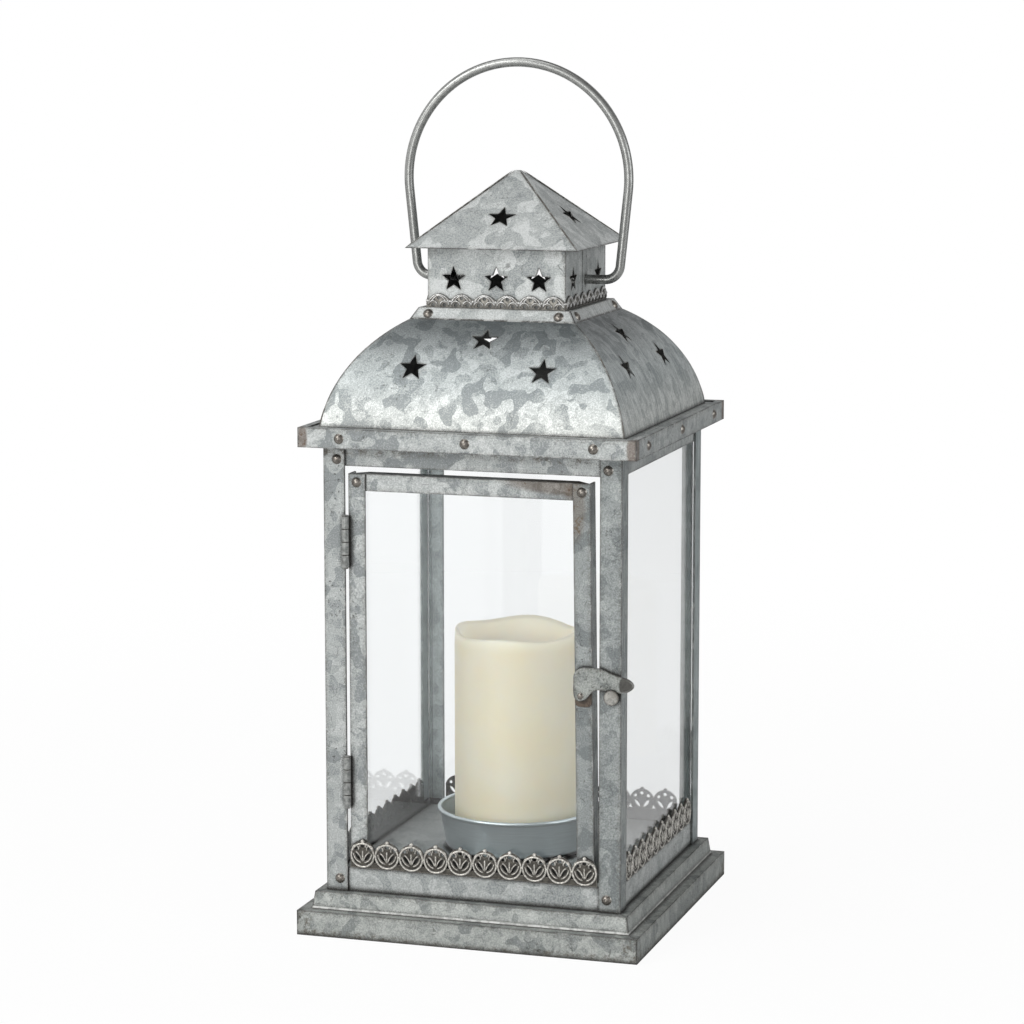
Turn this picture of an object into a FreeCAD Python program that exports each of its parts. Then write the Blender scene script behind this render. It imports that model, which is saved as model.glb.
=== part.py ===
"""Square lantern of galvanised sheet, with a hinged glass door, a domed and star-pierced roof, a wire
bail and a flameless pillar candle in its cup.

Millimetres, +Z up, the door faces -Y and is hinged on its -X side. The origin is the centre of the
plinth's underside. Every side of the square is drawn once, as the front, and turned to the others.
"""
import FreeCAD, Part
import math
import os

os.makedirs("parts", exist_ok=True)
Vector = FreeCAD.Vector

# Stock that the lantern is folded and cut from
sheet = 0.8
post_wall = 1.2
rail_wall = 1.0
door_wall = 1.0
glass_thickness = 2.0
lace_thickness = 1.2
leaf_wall = 0.6

# Plinth: two pressed steps, open underneath
base_overhang = 14.0
base_lower_height = 14.8
base_upper_overhang = 7.0
base_upper_batter = 1.5
base_upper_height = 10.2
base_hem = 8.0
base_ledge = 15.5

# Body: corner posts and rails
body_half = 90.0
body_height = 275.8
post_leg = 13.0
bottom_rail_height = 14.5
top_rail_height = 21.5
rail_flange = 7.0
floor_height = 11.5
pan_gap = 0.4

# Glass and its tabs
glass_back_gap = 0.7
glass_end_gap = 0.3
pane_overlap = 7.0
pane_seat_gap = 0.2
tab_width = 9.0
tab_length = 7.0
tab_foot = 3.0
tab_wall = 0.6
tab_gap = 0.1
tab_place_share = 0.55

# Eave tray, its riveted edge bands and the dome
eave_overhang = 11.5
eave_rim_height = 11.6
eave_lip = 4.5
eave_opening_inset = 6.0
dome_radius = 83.0
dome_foot_overhang = 1.8
dome_height = 60.4

# Collar, chimney and cap
collar_height = 6.6
collar_batter = 4.1
collar_shoulder = 4.4
collar_corner_gap = 0.6
collar_ledge_seat = 2.0
chimney_half = 42.0
chimney_height = 34.9
chimney_seam_share = -0.17
chimney_seam_gap = 0.4
cap_overhang = 10.5
cap_rise = 44.8
cap_tip_half = 1.6

# Punched stars
roof_star_radius = 8.6
chimney_star_radius = 7.6
star_inner_share = 0.42
star_points = 5
dome_low_star_share = 0.50
dome_high_star_share = 0.78
dome_star_spread_share = 0.425
cap_star_share = 0.61
chimney_star_height_share = 0.475
chimney_star_spread_share = 0.62

# Rivets
rivet_head_radius = 3.0
rivet_head_height = 1.6
rivet_shank_radius = 1.4
rivet_hole_gap = 0.05
rivet_tail_radius = 2.1
rivet_tail_height = 0.6
post_rivet_inset = 8.2
post_rivet_low = 7.4
post_rivet_drop = 17.6
door_rivet_inset = 5.0
eave_rivet_spread_share = 0.75
collar_rivet_spread_share = 0.82

# Door
door_hinge_gap = 2.3
door_latch_gap = 5.8
door_top_gap = 4.2
door_bottom_gap = 0.6
door_return = 10.5
door_lean = 3.2
stile_face = 10.3
door_rail_face = 10.0

# Hinges
hinge_length = 30.0
hinge_low_share = 0.22
hinge_high_share = 0.83
knuckle_count = 4
knuckle_radius = 2.2
knuckle_gap = 0.5
pin_radius = 1.0
pin_fit = 0.05
pin_head_radius = 1.6
pin_head_height = 0.8
hinge_stand_off = 0.3
frame_leaf_width = 6.0
door_leaf_width = 6.0

# Latch
latch_height_share = 0.478
latch_pivot_inset = 6.5
latch_plate_wall = 0.8
latch_plate_width = 10.0
latch_plate_height = 16.0
latch_plate_drop = 6.5
latch_plate_corner = 3.0
lever_wall = 1.2
lever_gap = 0.3
lever_reach = 31.7
lever_rise = 16.8
lever_rest_share = 0.187
latch_pin_radius = 1.5
latch_pin_head_radius = 1.9
latch_pin_head_height = 0.9
keeper_inset = 8.0
keeper_neck_radius = 2.6
keeper_head_radius = 4.3
keeper_head_wall = 1.2
keeper_rest_gap = 0.3

# The lever's edge, as shares of its reach and of its rise, from its pivot
lever_edge_shares = [
    (0.020, -0.165), (-0.095, -0.110), (-0.133, 0.140), (-0.130, 0.480), (-0.116, 0.780),
    (0.016, 0.972), (0.189, 1.000), (0.347, 0.988), (0.536, 0.869), (0.757, 0.738),
    (0.915, 0.649), (1.000, 0.452), (0.905, 0.244), (0.757, 0.187), (0.590, 0.187),
    (0.400, 0.245), (0.245, 0.190), (0.130, -0.030),
]

# Bail
bail_wire_radius = 2.75
bail_radius = 68.0
bail_centre_rise = 58.6
bail_pivot_share = 0.43
bail_lean_degrees = 6.0
bail_bend_radius = 9.0
bail_tail = 8.0
bail_fit = 0.08

# Lace trim: a row of rings on a plain band
lace_pitch_share = 1.92
lace_side_margin = 1.5
lace_band = 3.6
lace_ring_radius = 7.9
lace_ring_rise = 8.1
lace_bead_radius = 1.1
lace_end_inset = 0.1
lace_hole_radius = 1.15
lace_slot_width = 2.1
lace_side_hole_share = 0.54
lace_side_hole_rise_share = 0.45
lace_top_hole_rise_share = 0.66
lace_slot_top_share = (0.62, 0.12)
lace_slot_foot_share = (0.10, -0.50)
lace_triangle_half_share = 0.13
lace_triangle_rise_share = 0.19

# Lace round the chimney's foot: arches over a row of round holes
arch_count = 6
arch_thickness = 0.8
arch_height = 8.0
arch_bead_radius = 0.5
arch_radius_share = 0.585
arch_top_hole_radius = 1.1
arch_side_hole_radius = 0.9
arch_foot_hole_radius = 1.2
arch_top_hole_share = 0.68
arch_side_hole_shares = (0.207, 0.50)
arch_foot_hole_shares = (0.25, 0.19)

# Candle cup
cup_gap = 10.5
cup_foot_margin = 6.0
cup_height = 26.0
cup_corner_radius = 5.4
cup_bead_radius = 1.2

# Flameless pillar candle
candle_radius = 38.0
candle_height = 132.5
candle_wave = 3.0
candle_wave_shares = [(-1.0, -1.0), (-0.5, -0.8), (0.0, 0.0), (0.5, 0.9), (1.0, 1.0)]
recess_depth = 14.0
recess_wall = 3.6
recess_taper = 4.4
core_inset_wall = 7.0
core_height = 60.0
core_inset = 2.4
core_fit = 0.3
stem_radius = 4.5
cell_radius = 7.25
cell_length = 50.5
cell_fit = 0.15
cell_end_gap = 0.4
cell_nub_radius = 2.7
cell_nub_height = 1.2
cell_spacing = 16.4
cover_length = 36.0
cover_width = 19.0
cover_wall = 1.6
cover_fit = 0.15
led_radius = 2.6
led_height = 7.0
switch_travel = 3.0
switch_length = 8.0
switch_width = 4.4
switch_wall = 1.2
switch_fit = 0.2
switch_knob = 3.0
switch_knob_height = 1.4
switch_place = 20.0

# One overrun serves every cut that has to pass right through
overrun = 3.0

# Levels and faces that follow from the sizes above
base_half = body_half + base_overhang
base_upper_foot_half = body_half + base_upper_overhang
base_upper_top_half = base_upper_foot_half - base_upper_batter
base_top = base_lower_height + base_upper_height
eave_top = base_top + body_height
eave_under = eave_top - sheet
eave_half = body_half + eave_overhang
eave_opening_half = body_half - eave_opening_inset
reach = max(base_half, eave_half)
band_top = eave_top + sheet
post_inner = body_half - post_wall
opening_half = body_half - post_leg
rail_inner = post_inner - rail_wall
rail_top = base_top + bottom_rail_height
header_low = eave_under - top_rail_height
flange_top = base_top + rail_wall
floor_top = base_top + floor_height
glass_outer = rail_inner - glass_back_gap
glass_inner = glass_outer - glass_thickness
pane_half = opening_half + pane_overlap
pan_half = glass_inner - pan_gap
dome_foot_half = body_half + dome_foot_overhang
collar_top_half = chimney_half + collar_shoulder
collar_ledge_half = chimney_half - collar_ledge_seat
dome_top_half = collar_top_half + collar_batter
cap_half = chimney_half + cap_overhang
collar_foot = eave_top + dome_height
collar_top = collar_foot + collar_height
cap_eave = collar_top + chimney_height
cap_slope = cap_rise / cap_half
cap_wall_drop = sheet * math.hypot(1, cap_slope)
bail_pivot = collar_top + bail_pivot_share * chimney_height

door_left = -opening_half + door_hinge_gap
door_right = opening_half - door_latch_gap
door_low = rail_top + door_bottom_gap
door_top = header_low - door_top_gap
door_height = door_top - door_low
door_front = -body_half
door_back = door_front + door_return
door_rail_front = door_front + door_wall
door_rail_inner = door_rail_front + door_wall

hinge_x = -opening_half + door_hinge_gap / 2
hinge_y = door_front - knuckle_radius - hinge_stand_off
latch_z = door_low + latch_height_share * door_height
latch_x = door_right + door_lean * (1 - latch_height_share) - latch_pivot_inset
lever_back = door_front - latch_plate_wall - lever_gap
lever_front = lever_back - lever_wall
keeper_x = opening_half + keeper_inset
keeper_z = latch_z + lever_rest_share * lever_rise - keeper_rest_gap - keeper_neck_radius

side_names = ["front", "right", "back", "left"]


def save(name, *solids):
    """Write one named piece, or one group of like pieces, to its own file."""
    shape = solids[0] if len(solids) == 1 else Part.makeCompound(list(solids))
    shape.exportStep("parts/" + name + ".step")


def block(x_low, x_high, y_low, y_high, z_low, z_high):
    return Part.makeBox(x_high - x_low, y_high - y_low, z_high - z_low, Vector(x_low, y_low, z_low))


def closed(points):
    """A flat face inside a closed ring of straight edges."""
    return Part.Face(Part.makePolygon(list(points) + [points[0]]))


def turned(shape, quarter):
    """The front's shape, turned to another side of the square."""
    copy = shape.copy()
    copy.rotate(Vector(0, 0, 0), Vector(0, 0, 1), 90 * quarter)
    return copy


def folded(points, wall):
    """The section of a folded sheet: a line of 2-D points and the same line moved left by the wall."""
    steps = [(b[0] - a[0], b[1] - a[1]) for a, b in zip(points, points[1:])]
    normals = [(-dy / math.hypot(dx, dy), dx / math.hypot(dx, dy)) for dx, dy in steps]
    inner = []
    for i, (x, y) in enumerate(points):
        before = normals[max(i - 1, 0)]
        after = normals[min(i, len(normals) - 1)]
        share = wall / (1 + before[0] * after[0] + before[1] * after[1])
        inner.append((x + share * (before[0] + after[0]), y + share * (before[1] + after[1])))
    return list(points) + inner[::-1]


def section(points):
    """A section given as (distance out from the centre, height), stood up across the front."""
    return closed([Vector(-reach, -out, z) for out, z in points])


def corner_wedge(gap):
    """Everything in front of the two diagonals, drawn back from them by half a corner gap."""
    far = reach + overrun
    tip = Vector(0, -gap / 2, -overrun)
    ends = [Vector(-far, -far - gap / 2, -overrun), Vector(far, -far - gap / 2, -overrun)]
    return closed([tip] + ends).extrude(Vector(0, 0, bail_pivot + overrun))


def mitred(face, gap=0):
    """A section run along the front and cut off at both corners of the square."""
    return face.extrude(Vector(2 * reach, 0, 0)).common(corner_wedge(gap))


def bored(shape, cutters):
    return shape.cut(Part.makeCompound(cutters)) if cutters else shape


def rod(radius, start, end):
    axis = end - start
    return Part.makeCylinder(radius, axis.Length, start, axis)


def star(centre, right, up, radius):
    """A five-pointed punch, centred on a sheet and as deep as the overrun on each side of it."""
    normal = right.cross(up)
    ring = []
    for i in range(2 * star_points):
        reach = radius if i % 2 == 0 else radius * star_inner_share
        angle = math.pi / 2 + math.pi * i / star_points
        ring.append(centre + right * (reach * math.cos(angle)) + up * (reach * math.sin(angle)))
    return closed([p - normal * overrun for p in ring]).extrude(normal * (2 * overrun))


def domed_head(radius, height, place, outward):
    ball = (radius ** 2 + height ** 2) / (2 * height)
    low = math.degrees(math.asin((ball - height) / ball))
    return Part.makeSphere(ball, place - outward * (ball - height), outward, low, 90, 360)


def rivet(place, outward, grip):
    """A rivet whose domed head sits at place and whose tail clamps the far side of the grip."""
    far = place - outward * grip
    shank = rod(rivet_shank_radius, place, far)
    tail = rod(rivet_tail_radius, far, far - outward * rivet_tail_height)
    head = domed_head(rivet_head_radius, rivet_head_height, place, outward)
    return head.fuse([shank, tail]).removeSplitter()


def rivet_hole(place, outward):
    through = outward * overrun
    return rod(rivet_shank_radius + rivet_hole_gap, place - through, place + through)


def flush_rivet(place, outward, grip):
    """A rivet that is ground flush at place, under a trim, and clamps the far side of the grip."""
    far = place - outward * grip
    tail = rod(rivet_tail_radius, far, far - outward * rivet_tail_height)
    return rod(rivet_shank_radius, place, far).fuse(tail).removeSplitter()


# Plinth
skirt_line = [
    (base_half - base_hem, 0), (base_half, 0), (base_half, base_lower_height),
    (base_upper_foot_half, base_lower_height), (base_upper_top_half, base_top),
    (base_upper_top_half - base_ledge, base_top),
]
skirt = mitred(section(folded(skirt_line, sheet)))
for quarter, side in enumerate(side_names):
    save("base_skirt_" + side, turned(skirt, quarter))

pan_outer = block(-pan_half, pan_half, -pan_half, pan_half, flange_top, floor_top)
pan_inner_half = pan_half - sheet
pan_inner = block(-pan_inner_half, pan_inner_half, -pan_inner_half, pan_inner_half,
                  flange_top - overrun, floor_top - sheet)
save("floor_pan", pan_outer.cut(pan_inner))

# Posts and rails, riveted at the front and back
outward_front = Vector(0, -1, 0)
post_rivet_x = opening_half + post_leg - post_rivet_inset
post_rivet_z = [base_top + post_rivet_low, eave_under - post_rivet_drop]
post_rivet_places = [Vector(x, -body_half, z) for x in (-post_rivet_x, post_rivet_x) for z in post_rivet_z]
post_cuts = [rivet_hole(place, outward_front) for place in post_rivet_places]
post_cuts += [turned(cut, 2) for cut in post_cuts]

post_line = [(-opening_half, -body_half), (-body_half, -body_half), (-body_half, -opening_half)]
post_section = folded(post_line[::-1], post_wall)
post = closed([Vector(x, y, base_top) for x, y in post_section]).extrude(Vector(0, 0, eave_under - base_top))
keeper_back = Vector(keeper_x, -post_inner, keeper_z)
keeper_hole = rod(rivet_shank_radius + rivet_hole_gap, keeper_back + Vector(0, overrun, 0),
                  keeper_back - Vector(0, overrun, 0))
for quarter, corner in enumerate(["front_left", "front_right", "back_right", "back_left"]):
    corner_post = bored(turned(post, quarter), post_cuts)
    save("post_" + corner, corner_post.cut(keeper_hole) if corner == "front_right" else corner_post)

low_rail_line = [(post_inner - rail_flange, base_top), (post_inner, base_top), (post_inner, rail_top)]
high_rail_line = [(post_inner, header_low), (post_inner, eave_under), (post_inner - rail_flange, eave_under)]
low_rail = mitred(section(folded(low_rail_line, rail_wall)))
high_rail = mitred(section(folded(high_rail_line, rail_wall)))
for quarter, side in enumerate(side_names):
    save("bottom_rail_" + side, bored(turned(low_rail, quarter), post_cuts))
    save("top_rail_" + side, bored(turned(high_rail, quarter), post_cuts))

# Fixed panes, held at the top by soldered tabs and at the foot by the floor pan
pane = block(-pane_half, pane_half, -glass_outer, -glass_inner,
             flange_top + pane_seat_gap, eave_under - rail_wall - glass_end_gap)
tab_top = eave_under - rail_wall
tab_front = -glass_inner + tab_gap
frame_tabs = []
for place in (-tab_place_share * opening_half, tab_place_share * opening_half):
    leg = block(place - tab_width / 2, place + tab_width / 2, tab_front, tab_front + tab_wall,
                tab_top - tab_length, tab_top)
    foot = block(place - tab_width / 2, place + tab_width / 2, tab_front, tab_front + tab_foot,
                 tab_top - tab_wall, tab_top)
    frame_tabs.append(leg.fuse(foot).removeSplitter())
for quarter, side in enumerate(side_names[1:], start=1):
    save("glass_" + side, turned(pane, quarter))
save("glass_tabs", *[turned(tab, quarter) for quarter in (1, 2, 3) for tab in frame_tabs])

# Eave tray and the edge bands riveted round it
tray_half = eave_half - sheet
tray_low = band_top - eave_rim_height + sheet
tray = block(-tray_half, tray_half, -tray_half, tray_half, tray_low, eave_top)
tray_inside = tray_half - sheet
tray = tray.cut(block(-tray_inside, tray_inside, -tray_inside, tray_inside, tray_low - overrun, eave_under))
tray = tray.cut(block(-eave_opening_half, eave_opening_half, -eave_opening_half, eave_opening_half,
                      tray_low, eave_top + overrun))
band_line = [(eave_half, band_top - eave_rim_height), (eave_half, band_top), (eave_half - eave_lip, band_top)]
band = mitred(section(folded(band_line, sheet)))
eave_rivet_z = band_top - eave_rim_height / 2
eave_places = [Vector(share * eave_half, -eave_half, eave_rivet_z)
               for share in (-eave_rivet_spread_share, 0, eave_rivet_spread_share)]
eave_cuts = [rivet_hole(place, outward_front) for place in eave_places]
save("eave_tray", bored(tray, [turned(cut, quarter) for quarter in range(4) for cut in eave_cuts]))
save("eave_bands", *[turned(bored(band, eave_cuts), quarter) for quarter in range(4)])

# Dome: four curved panels on one arc, each with a lip that the collar is riveted to
dome_foot = Vector(dome_foot_half, eave_top, 0)
dome_crown = Vector(dome_top_half, collar_foot, 0)
dome_chord = dome_crown - dome_foot
dome_rise = math.sqrt(dome_radius ** 2 - (dome_chord.Length / 2) ** 2)
chord_side = Vector(-dome_chord.y, dome_chord.x, 0)
chord_side.normalize()
dome_centre = (dome_foot + dome_crown) * 0.5 + chord_side * dome_rise
foot_angle = math.asin((eave_top - dome_centre.y) / dome_radius)
crown_angle = math.asin((collar_foot - dome_centre.y) / dome_radius)


def on_dome(radius, angle):
    return (dome_centre.x + radius * math.cos(angle), dome_centre.y + radius * math.sin(angle))


def dome_angle_at(radius, place, along):
    """The angle at which a straight line through place meets an arc about the dome's centre."""
    dx = place[0] - dome_centre.x
    dy = place[1] - dome_centre.y
    middle = dx * along[0] + dy * along[1]
    step = -middle + math.sqrt(middle ** 2 - dx ** 2 - dy ** 2 + radius ** 2)
    return math.atan2(dy + step * along[1], dx + step * along[0])


def upright(point):
    return Vector(-reach, -point[0], point[1])


def arc_edge(radius, start, end):
    points = [upright(on_dome(radius, angle)) for angle in (start, (start + end) / 2, end)]
    return Part.Arc(*points).toShape()


def ring_face(edges):
    return Part.Face(Part.Wire(Part.__sortEdges__(edges)))


def line(start, end):
    return Part.LineSegment(start, end).toShape()


collar_run = dome_top_half - collar_top_half
collar_length = math.hypot(collar_run, collar_height)
collar_up = (-collar_run / collar_length, collar_height / collar_length)
collar_in = (-collar_up[1], collar_up[0])
collar_outer_foot = (dome_top_half, collar_foot)
collar_inner_line = (dome_top_half + sheet * collar_in[0], collar_foot + sheet * collar_in[1])
lip_inner_line = (dome_top_half + 2 * sheet * collar_in[0], collar_foot + 2 * sheet * collar_in[1])
collar_inner_angle = dome_angle_at(dome_radius, collar_inner_line, collar_up)
lip_inner_angle = dome_angle_at(dome_radius - sheet, lip_inner_line, collar_up)


def along_collar(place, z):
    """The point at height z on the sloped line through place."""
    share = (z - place[1]) / collar_up[1]
    return (place[0] + share * collar_up[0], z)


lip_top = collar_top - sheet
inner_foot_angle = math.asin((eave_top - dome_centre.y) / (dome_radius - sheet))
outer_crown = upright(on_dome(dome_radius, collar_inner_angle))
inner_crown = upright(on_dome(dome_radius - sheet, lip_inner_angle))
lip_outer_end = upright(along_collar(collar_inner_line, lip_top))
lip_inner_end = upright(along_collar(lip_inner_line, lip_top))
outer_foot = upright(on_dome(dome_radius, foot_angle))
inner_foot = upright(on_dome(dome_radius - sheet, inner_foot_angle))
dome_section = ring_face([
    arc_edge(dome_radius, foot_angle, collar_inner_angle), line(outer_crown, lip_outer_end),
    line(lip_outer_end, lip_inner_end), line(lip_inner_end, inner_crown),
    arc_edge(dome_radius - sheet, lip_inner_angle, inner_foot_angle), line(inner_foot, outer_foot),
])
dome_panel = mitred(dome_section)


def dome_star(x, share):
    angle = foot_angle + share * (crown_angle - foot_angle)
    out, z = on_dome(dome_radius, angle)
    up = Vector(0, math.sin(angle), math.cos(angle))
    return star(Vector(x, -out, z), Vector(1, 0, 0), up, roof_star_radius)


star_spread = dome_star_spread_share * dome_foot_half
dome_panel = bored(dome_panel, [dome_star(-star_spread, dome_low_star_share),
                                dome_star(star_spread, dome_low_star_share),
                                dome_star(0, dome_high_star_share)])

# Collar strips, with the ledge that the chimney stands on
collar_inner_foot = upright(on_dome(dome_radius, collar_inner_angle))
collar_outer_end = upright((collar_top_half, collar_top))
collar_ledge_top = upright((collar_ledge_half, collar_top))
collar_ledge_low = upright((collar_ledge_half, collar_top - sheet))
collar_inner_end = upright(along_collar(collar_inner_line, collar_top - sheet))
collar_section = ring_face([
    arc_edge(dome_radius, crown_angle, collar_inner_angle),
    line(upright(on_dome(dome_radius, crown_angle)), collar_outer_end),
    line(collar_outer_end, collar_ledge_top), line(collar_ledge_top, collar_ledge_low),
    line(collar_ledge_low, collar_inner_end), line(collar_inner_end, collar_inner_foot),
])
collar_strip = mitred(collar_section, collar_corner_gap)
collar_out = Vector(0, -collar_up[1], collar_run / collar_length)
collar_middle = (dome_top_half + collar_top_half) / 2
collar_places = [Vector(share * collar_middle, -collar_middle, (collar_foot + collar_top) / 2)
                 for share in (-collar_rivet_spread_share, collar_rivet_spread_share)]
collar_cuts = [rivet_hole(place, collar_out) for place in collar_places]
for quarter, side in enumerate(side_names):
    save("dome_" + side, turned(bored(dome_panel, collar_cuts), quarter))
save("collar_strips", *[turned(bored(collar_strip, collar_cuts), quarter) for quarter in range(4)])

# All the frame's rivets are alike but for their grip
fixed_rivets = [turned(rivet(place, outward_front, post_wall + rail_wall), quarter)
                for quarter in (0, 2) for place in post_rivet_places]
for quarter in range(4):
    fixed_rivets += [turned(rivet(place, outward_front, 2 * sheet), quarter) for place in eave_places]
    fixed_rivets += [turned(rivet(place, collar_out, 2 * sheet), quarter) for place in collar_places]
save("frame_rivets", *fixed_rivets)

# Chimney: two folded halves that meet at a seam on each side, with the bail's holes in the rear one
chimney_top = cap_eave + cap_slope * (cap_half - chimney_half) - cap_wall_drop
seam = chimney_seam_share * chimney_half


def chimney_half_box(seam_y, end_y):
    """Half of the square tube, from the seam to the front or the back wall."""
    line_points = [(-chimney_half, seam_y), (-chimney_half, end_y),
                   (chimney_half, end_y), (chimney_half, seam_y)]
    wall = sheet if end_y < seam_y else -sheet
    face = closed([Vector(x, y, collar_top) for x, y in folded(line_points, wall)])
    return face.extrude(Vector(0, 0, chimney_top - collar_top))


star_z = collar_top + chimney_star_height_share * chimney_height
spread = chimney_star_spread_share * chimney_half
front_stars = [star(Vector(x, -chimney_half, star_z), Vector(1, 0, 0), Vector(0, 0, 1), chimney_star_radius)
               for x in (-spread, 0, spread)]
side_stars = [star(Vector(x, -chimney_half, star_z), Vector(1, 0, 0), Vector(0, 0, 1), chimney_star_radius)
              for x in (-spread, spread)]
bail_hole_cut = rod(bail_wire_radius + bail_fit, Vector(-reach, 0, bail_pivot), Vector(reach, 0, bail_pivot))
chimney_cuts = front_stars + [turned(cut, 2) for cut in front_stars] + [bail_hole_cut]
chimney_cuts += [turned(cut, quarter) for quarter in (1, 3) for cut in side_stars]
save("chimney_front", bored(chimney_half_box(seam - chimney_seam_gap / 2, -chimney_half), chimney_cuts))
save("chimney_back", bored(chimney_half_box(seam + chimney_seam_gap / 2, chimney_half), chimney_cuts))


def square_frustum(low_half, low_z, high_half, high_z):
    rings = []
    for half, z in ((low_half, low_z), (high_half, high_z)):
        corners = [Vector(-half, -half, z), Vector(half, -half, z),
                   Vector(half, half, z), Vector(-half, half, z)]
        rings.append(Part.makePolygon(corners + corners[:1]))
    return Part.makeLoft(rings, True, True)


cap_top = cap_eave + cap_rise - cap_slope * cap_tip_half
cap = square_frustum(cap_half, cap_eave, cap_tip_half, cap_top)
inner_base_half = cap_half - cap_wall_drop / cap_slope + overrun / cap_slope
cap = cap.cut(square_frustum(inner_base_half, cap_eave - overrun, cap_tip_half, cap_top - cap_wall_drop))
cap_star_out = cap_star_share * cap_half
slope_length = math.hypot(1, cap_slope)
cap_star = star(Vector(0, -cap_star_out, cap_eave + cap_rise - cap_slope * cap_star_out), Vector(1, 0, 0),
                Vector(0, 1 / slope_length, cap_slope / slope_length), roof_star_radius)
save("roof_cap", bored(cap, [turned(cap_star, quarter) for quarter in range(4)]))


lace_width = 2 * (opening_half - lace_side_margin)
lace_rings = math.ceil(lace_width / (lace_pitch_share * lace_ring_radius))
lace_pitch = lace_width / lace_rings


# Lace: overlapping rings with a bead on top, on a plain band, pierced with holes, slots and triangles
def lace_outline(count, pitch, ring_radius, ring_z, bead_radius, low_z):
    """The closed edge of a row of rings; the row is centred on x = 0."""
    half = count * pitch / 2
    valley_z = ring_z + math.sqrt(ring_radius ** 2 - (pitch / 2) ** 2)
    bead_angle = 2 * math.asin(bead_radius / (2 * ring_radius))
    valley_angle = math.asin(pitch / 2 / ring_radius)
    middle_angle = (bead_angle + valley_angle) / 2

    def on_ring(centre, angle):
        return Vector(centre + ring_radius * math.sin(angle), 0, ring_z + ring_radius * math.cos(angle))

    corners = [Vector(-half, 0, valley_z), Vector(-half, 0, low_z),
               Vector(half, 0, low_z), Vector(half, 0, valley_z)]
    edges = [line(a, b) for a, b in zip(corners, corners[1:])]
    for i in range(count):
        centre = -half + (i + 0.5) * pitch
        left = on_ring(centre, -bead_angle)
        right = on_ring(centre, bead_angle)
        bead_top = Vector(centre, 0, ring_z + ring_radius + bead_radius)
        valley = Vector(centre - pitch / 2, 0, valley_z)
        next_valley = Vector(centre + pitch / 2, 0, valley_z)
        edges.append(Part.Arc(valley, on_ring(centre, -middle_angle), left).toShape())
        edges.append(Part.Arc(left, bead_top, right).toShape())
        edges.append(Part.Arc(right, on_ring(centre, middle_angle), next_valley).toShape())
    return Part.Wire(Part.__sortEdges__(edges))


def round_hole(x, z, radius):
    return Part.Wire(Part.makeCircle(radius, Vector(x, 0, z), Vector(0, 1, 0)))


def leaf_slot(top, foot, width):
    """A pointed slot between two points, drawn with two arcs."""
    along = foot - top
    across = along.cross(Vector(0, 1, 0))
    across.normalize()
    middle = (top + foot) * 0.5
    sides = [Part.Arc(top, middle + across * (sign * width / 2), foot).toShape() for sign in (1, -1)]
    return Part.Wire(sides)


def lace_strip(pitch, low_z, front):
    ring_z = low_z + lace_ring_rise
    top_z = ring_z + lace_top_hole_rise_share * lace_ring_radius
    side_z = ring_z + lace_side_hole_rise_share * lace_ring_radius
    band_z = low_z + lace_band
    half = lace_rings * pitch / 2
    holes = []
    for i in range(lace_rings):
        centre = -half + (i + 0.5) * pitch
        holes.append(round_hole(centre, top_z, lace_hole_radius))
        for sign in (-1, 1):
            side = sign * lace_ring_radius
            holes.append(round_hole(centre + side * lace_side_hole_share, side_z, lace_hole_radius))
            ends = [Vector(centre + side * x, 0, ring_z + z * lace_ring_radius)
                    for x, z in (lace_slot_top_share, lace_slot_foot_share)]
            holes.append(leaf_slot(ends[0], ends[1], lace_slot_width))
        if i:
            joint = centre - pitch / 2
            half_width = lace_triangle_half_share * pitch
            corners = [Vector(joint - half_width, 0, band_z), Vector(joint + half_width, 0, band_z),
                       Vector(joint, 0, band_z + lace_triangle_rise_share * pitch)]
            holes.append(Part.makePolygon(corners + corners[:1]))
    outline = lace_outline(lace_rings, pitch, lace_ring_radius, ring_z, lace_bead_radius, low_z)
    face = Part.makeFace([outline] + holes, "Part::FaceMakerBullseye")
    strip = face.extrude(Vector(0, lace_thickness, 0))
    strip.translate(Vector(0, front, 0))
    return strip


side_lace = lace_strip(lace_pitch, rail_top, -post_inner)
for quarter, side in enumerate(side_names[1:], start=1):
    save("lace_" + side, turned(side_lace, quarter))

arch_pitch = 2 * chimney_half / arch_count
arch_radius = arch_radius_share * arch_pitch
arch_z = collar_top + arch_height - arch_radius - arch_bead_radius
arch_holes = []
for i in range(arch_count):
    centre = -chimney_half + (i + 0.5) * arch_pitch
    arch_holes.append(round_hole(centre, collar_top + arch_top_hole_share * arch_height, arch_top_hole_radius))
    for (x_share, z_share), radius in ((arch_side_hole_shares, arch_side_hole_radius),
                                       (arch_foot_hole_shares, arch_foot_hole_radius)):
        for sign in (-1, 1):
            arch_holes.append(round_hole(centre + sign * x_share * arch_pitch,
                                         collar_top + z_share * arch_height, radius))
arch_outline = lace_outline(arch_count, arch_pitch, arch_radius, arch_z, arch_bead_radius, collar_top)
arch_face = Part.makeFace([arch_outline] + arch_holes, "Part::FaceMakerBullseye")
arches = arch_face.extrude(Vector(0, -arch_thickness, 0))
arches.translate(Vector(0, -chimney_half, 0))
save("chimney_lace", *[turned(arches, quarter) for quarter in range(4)])

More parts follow.
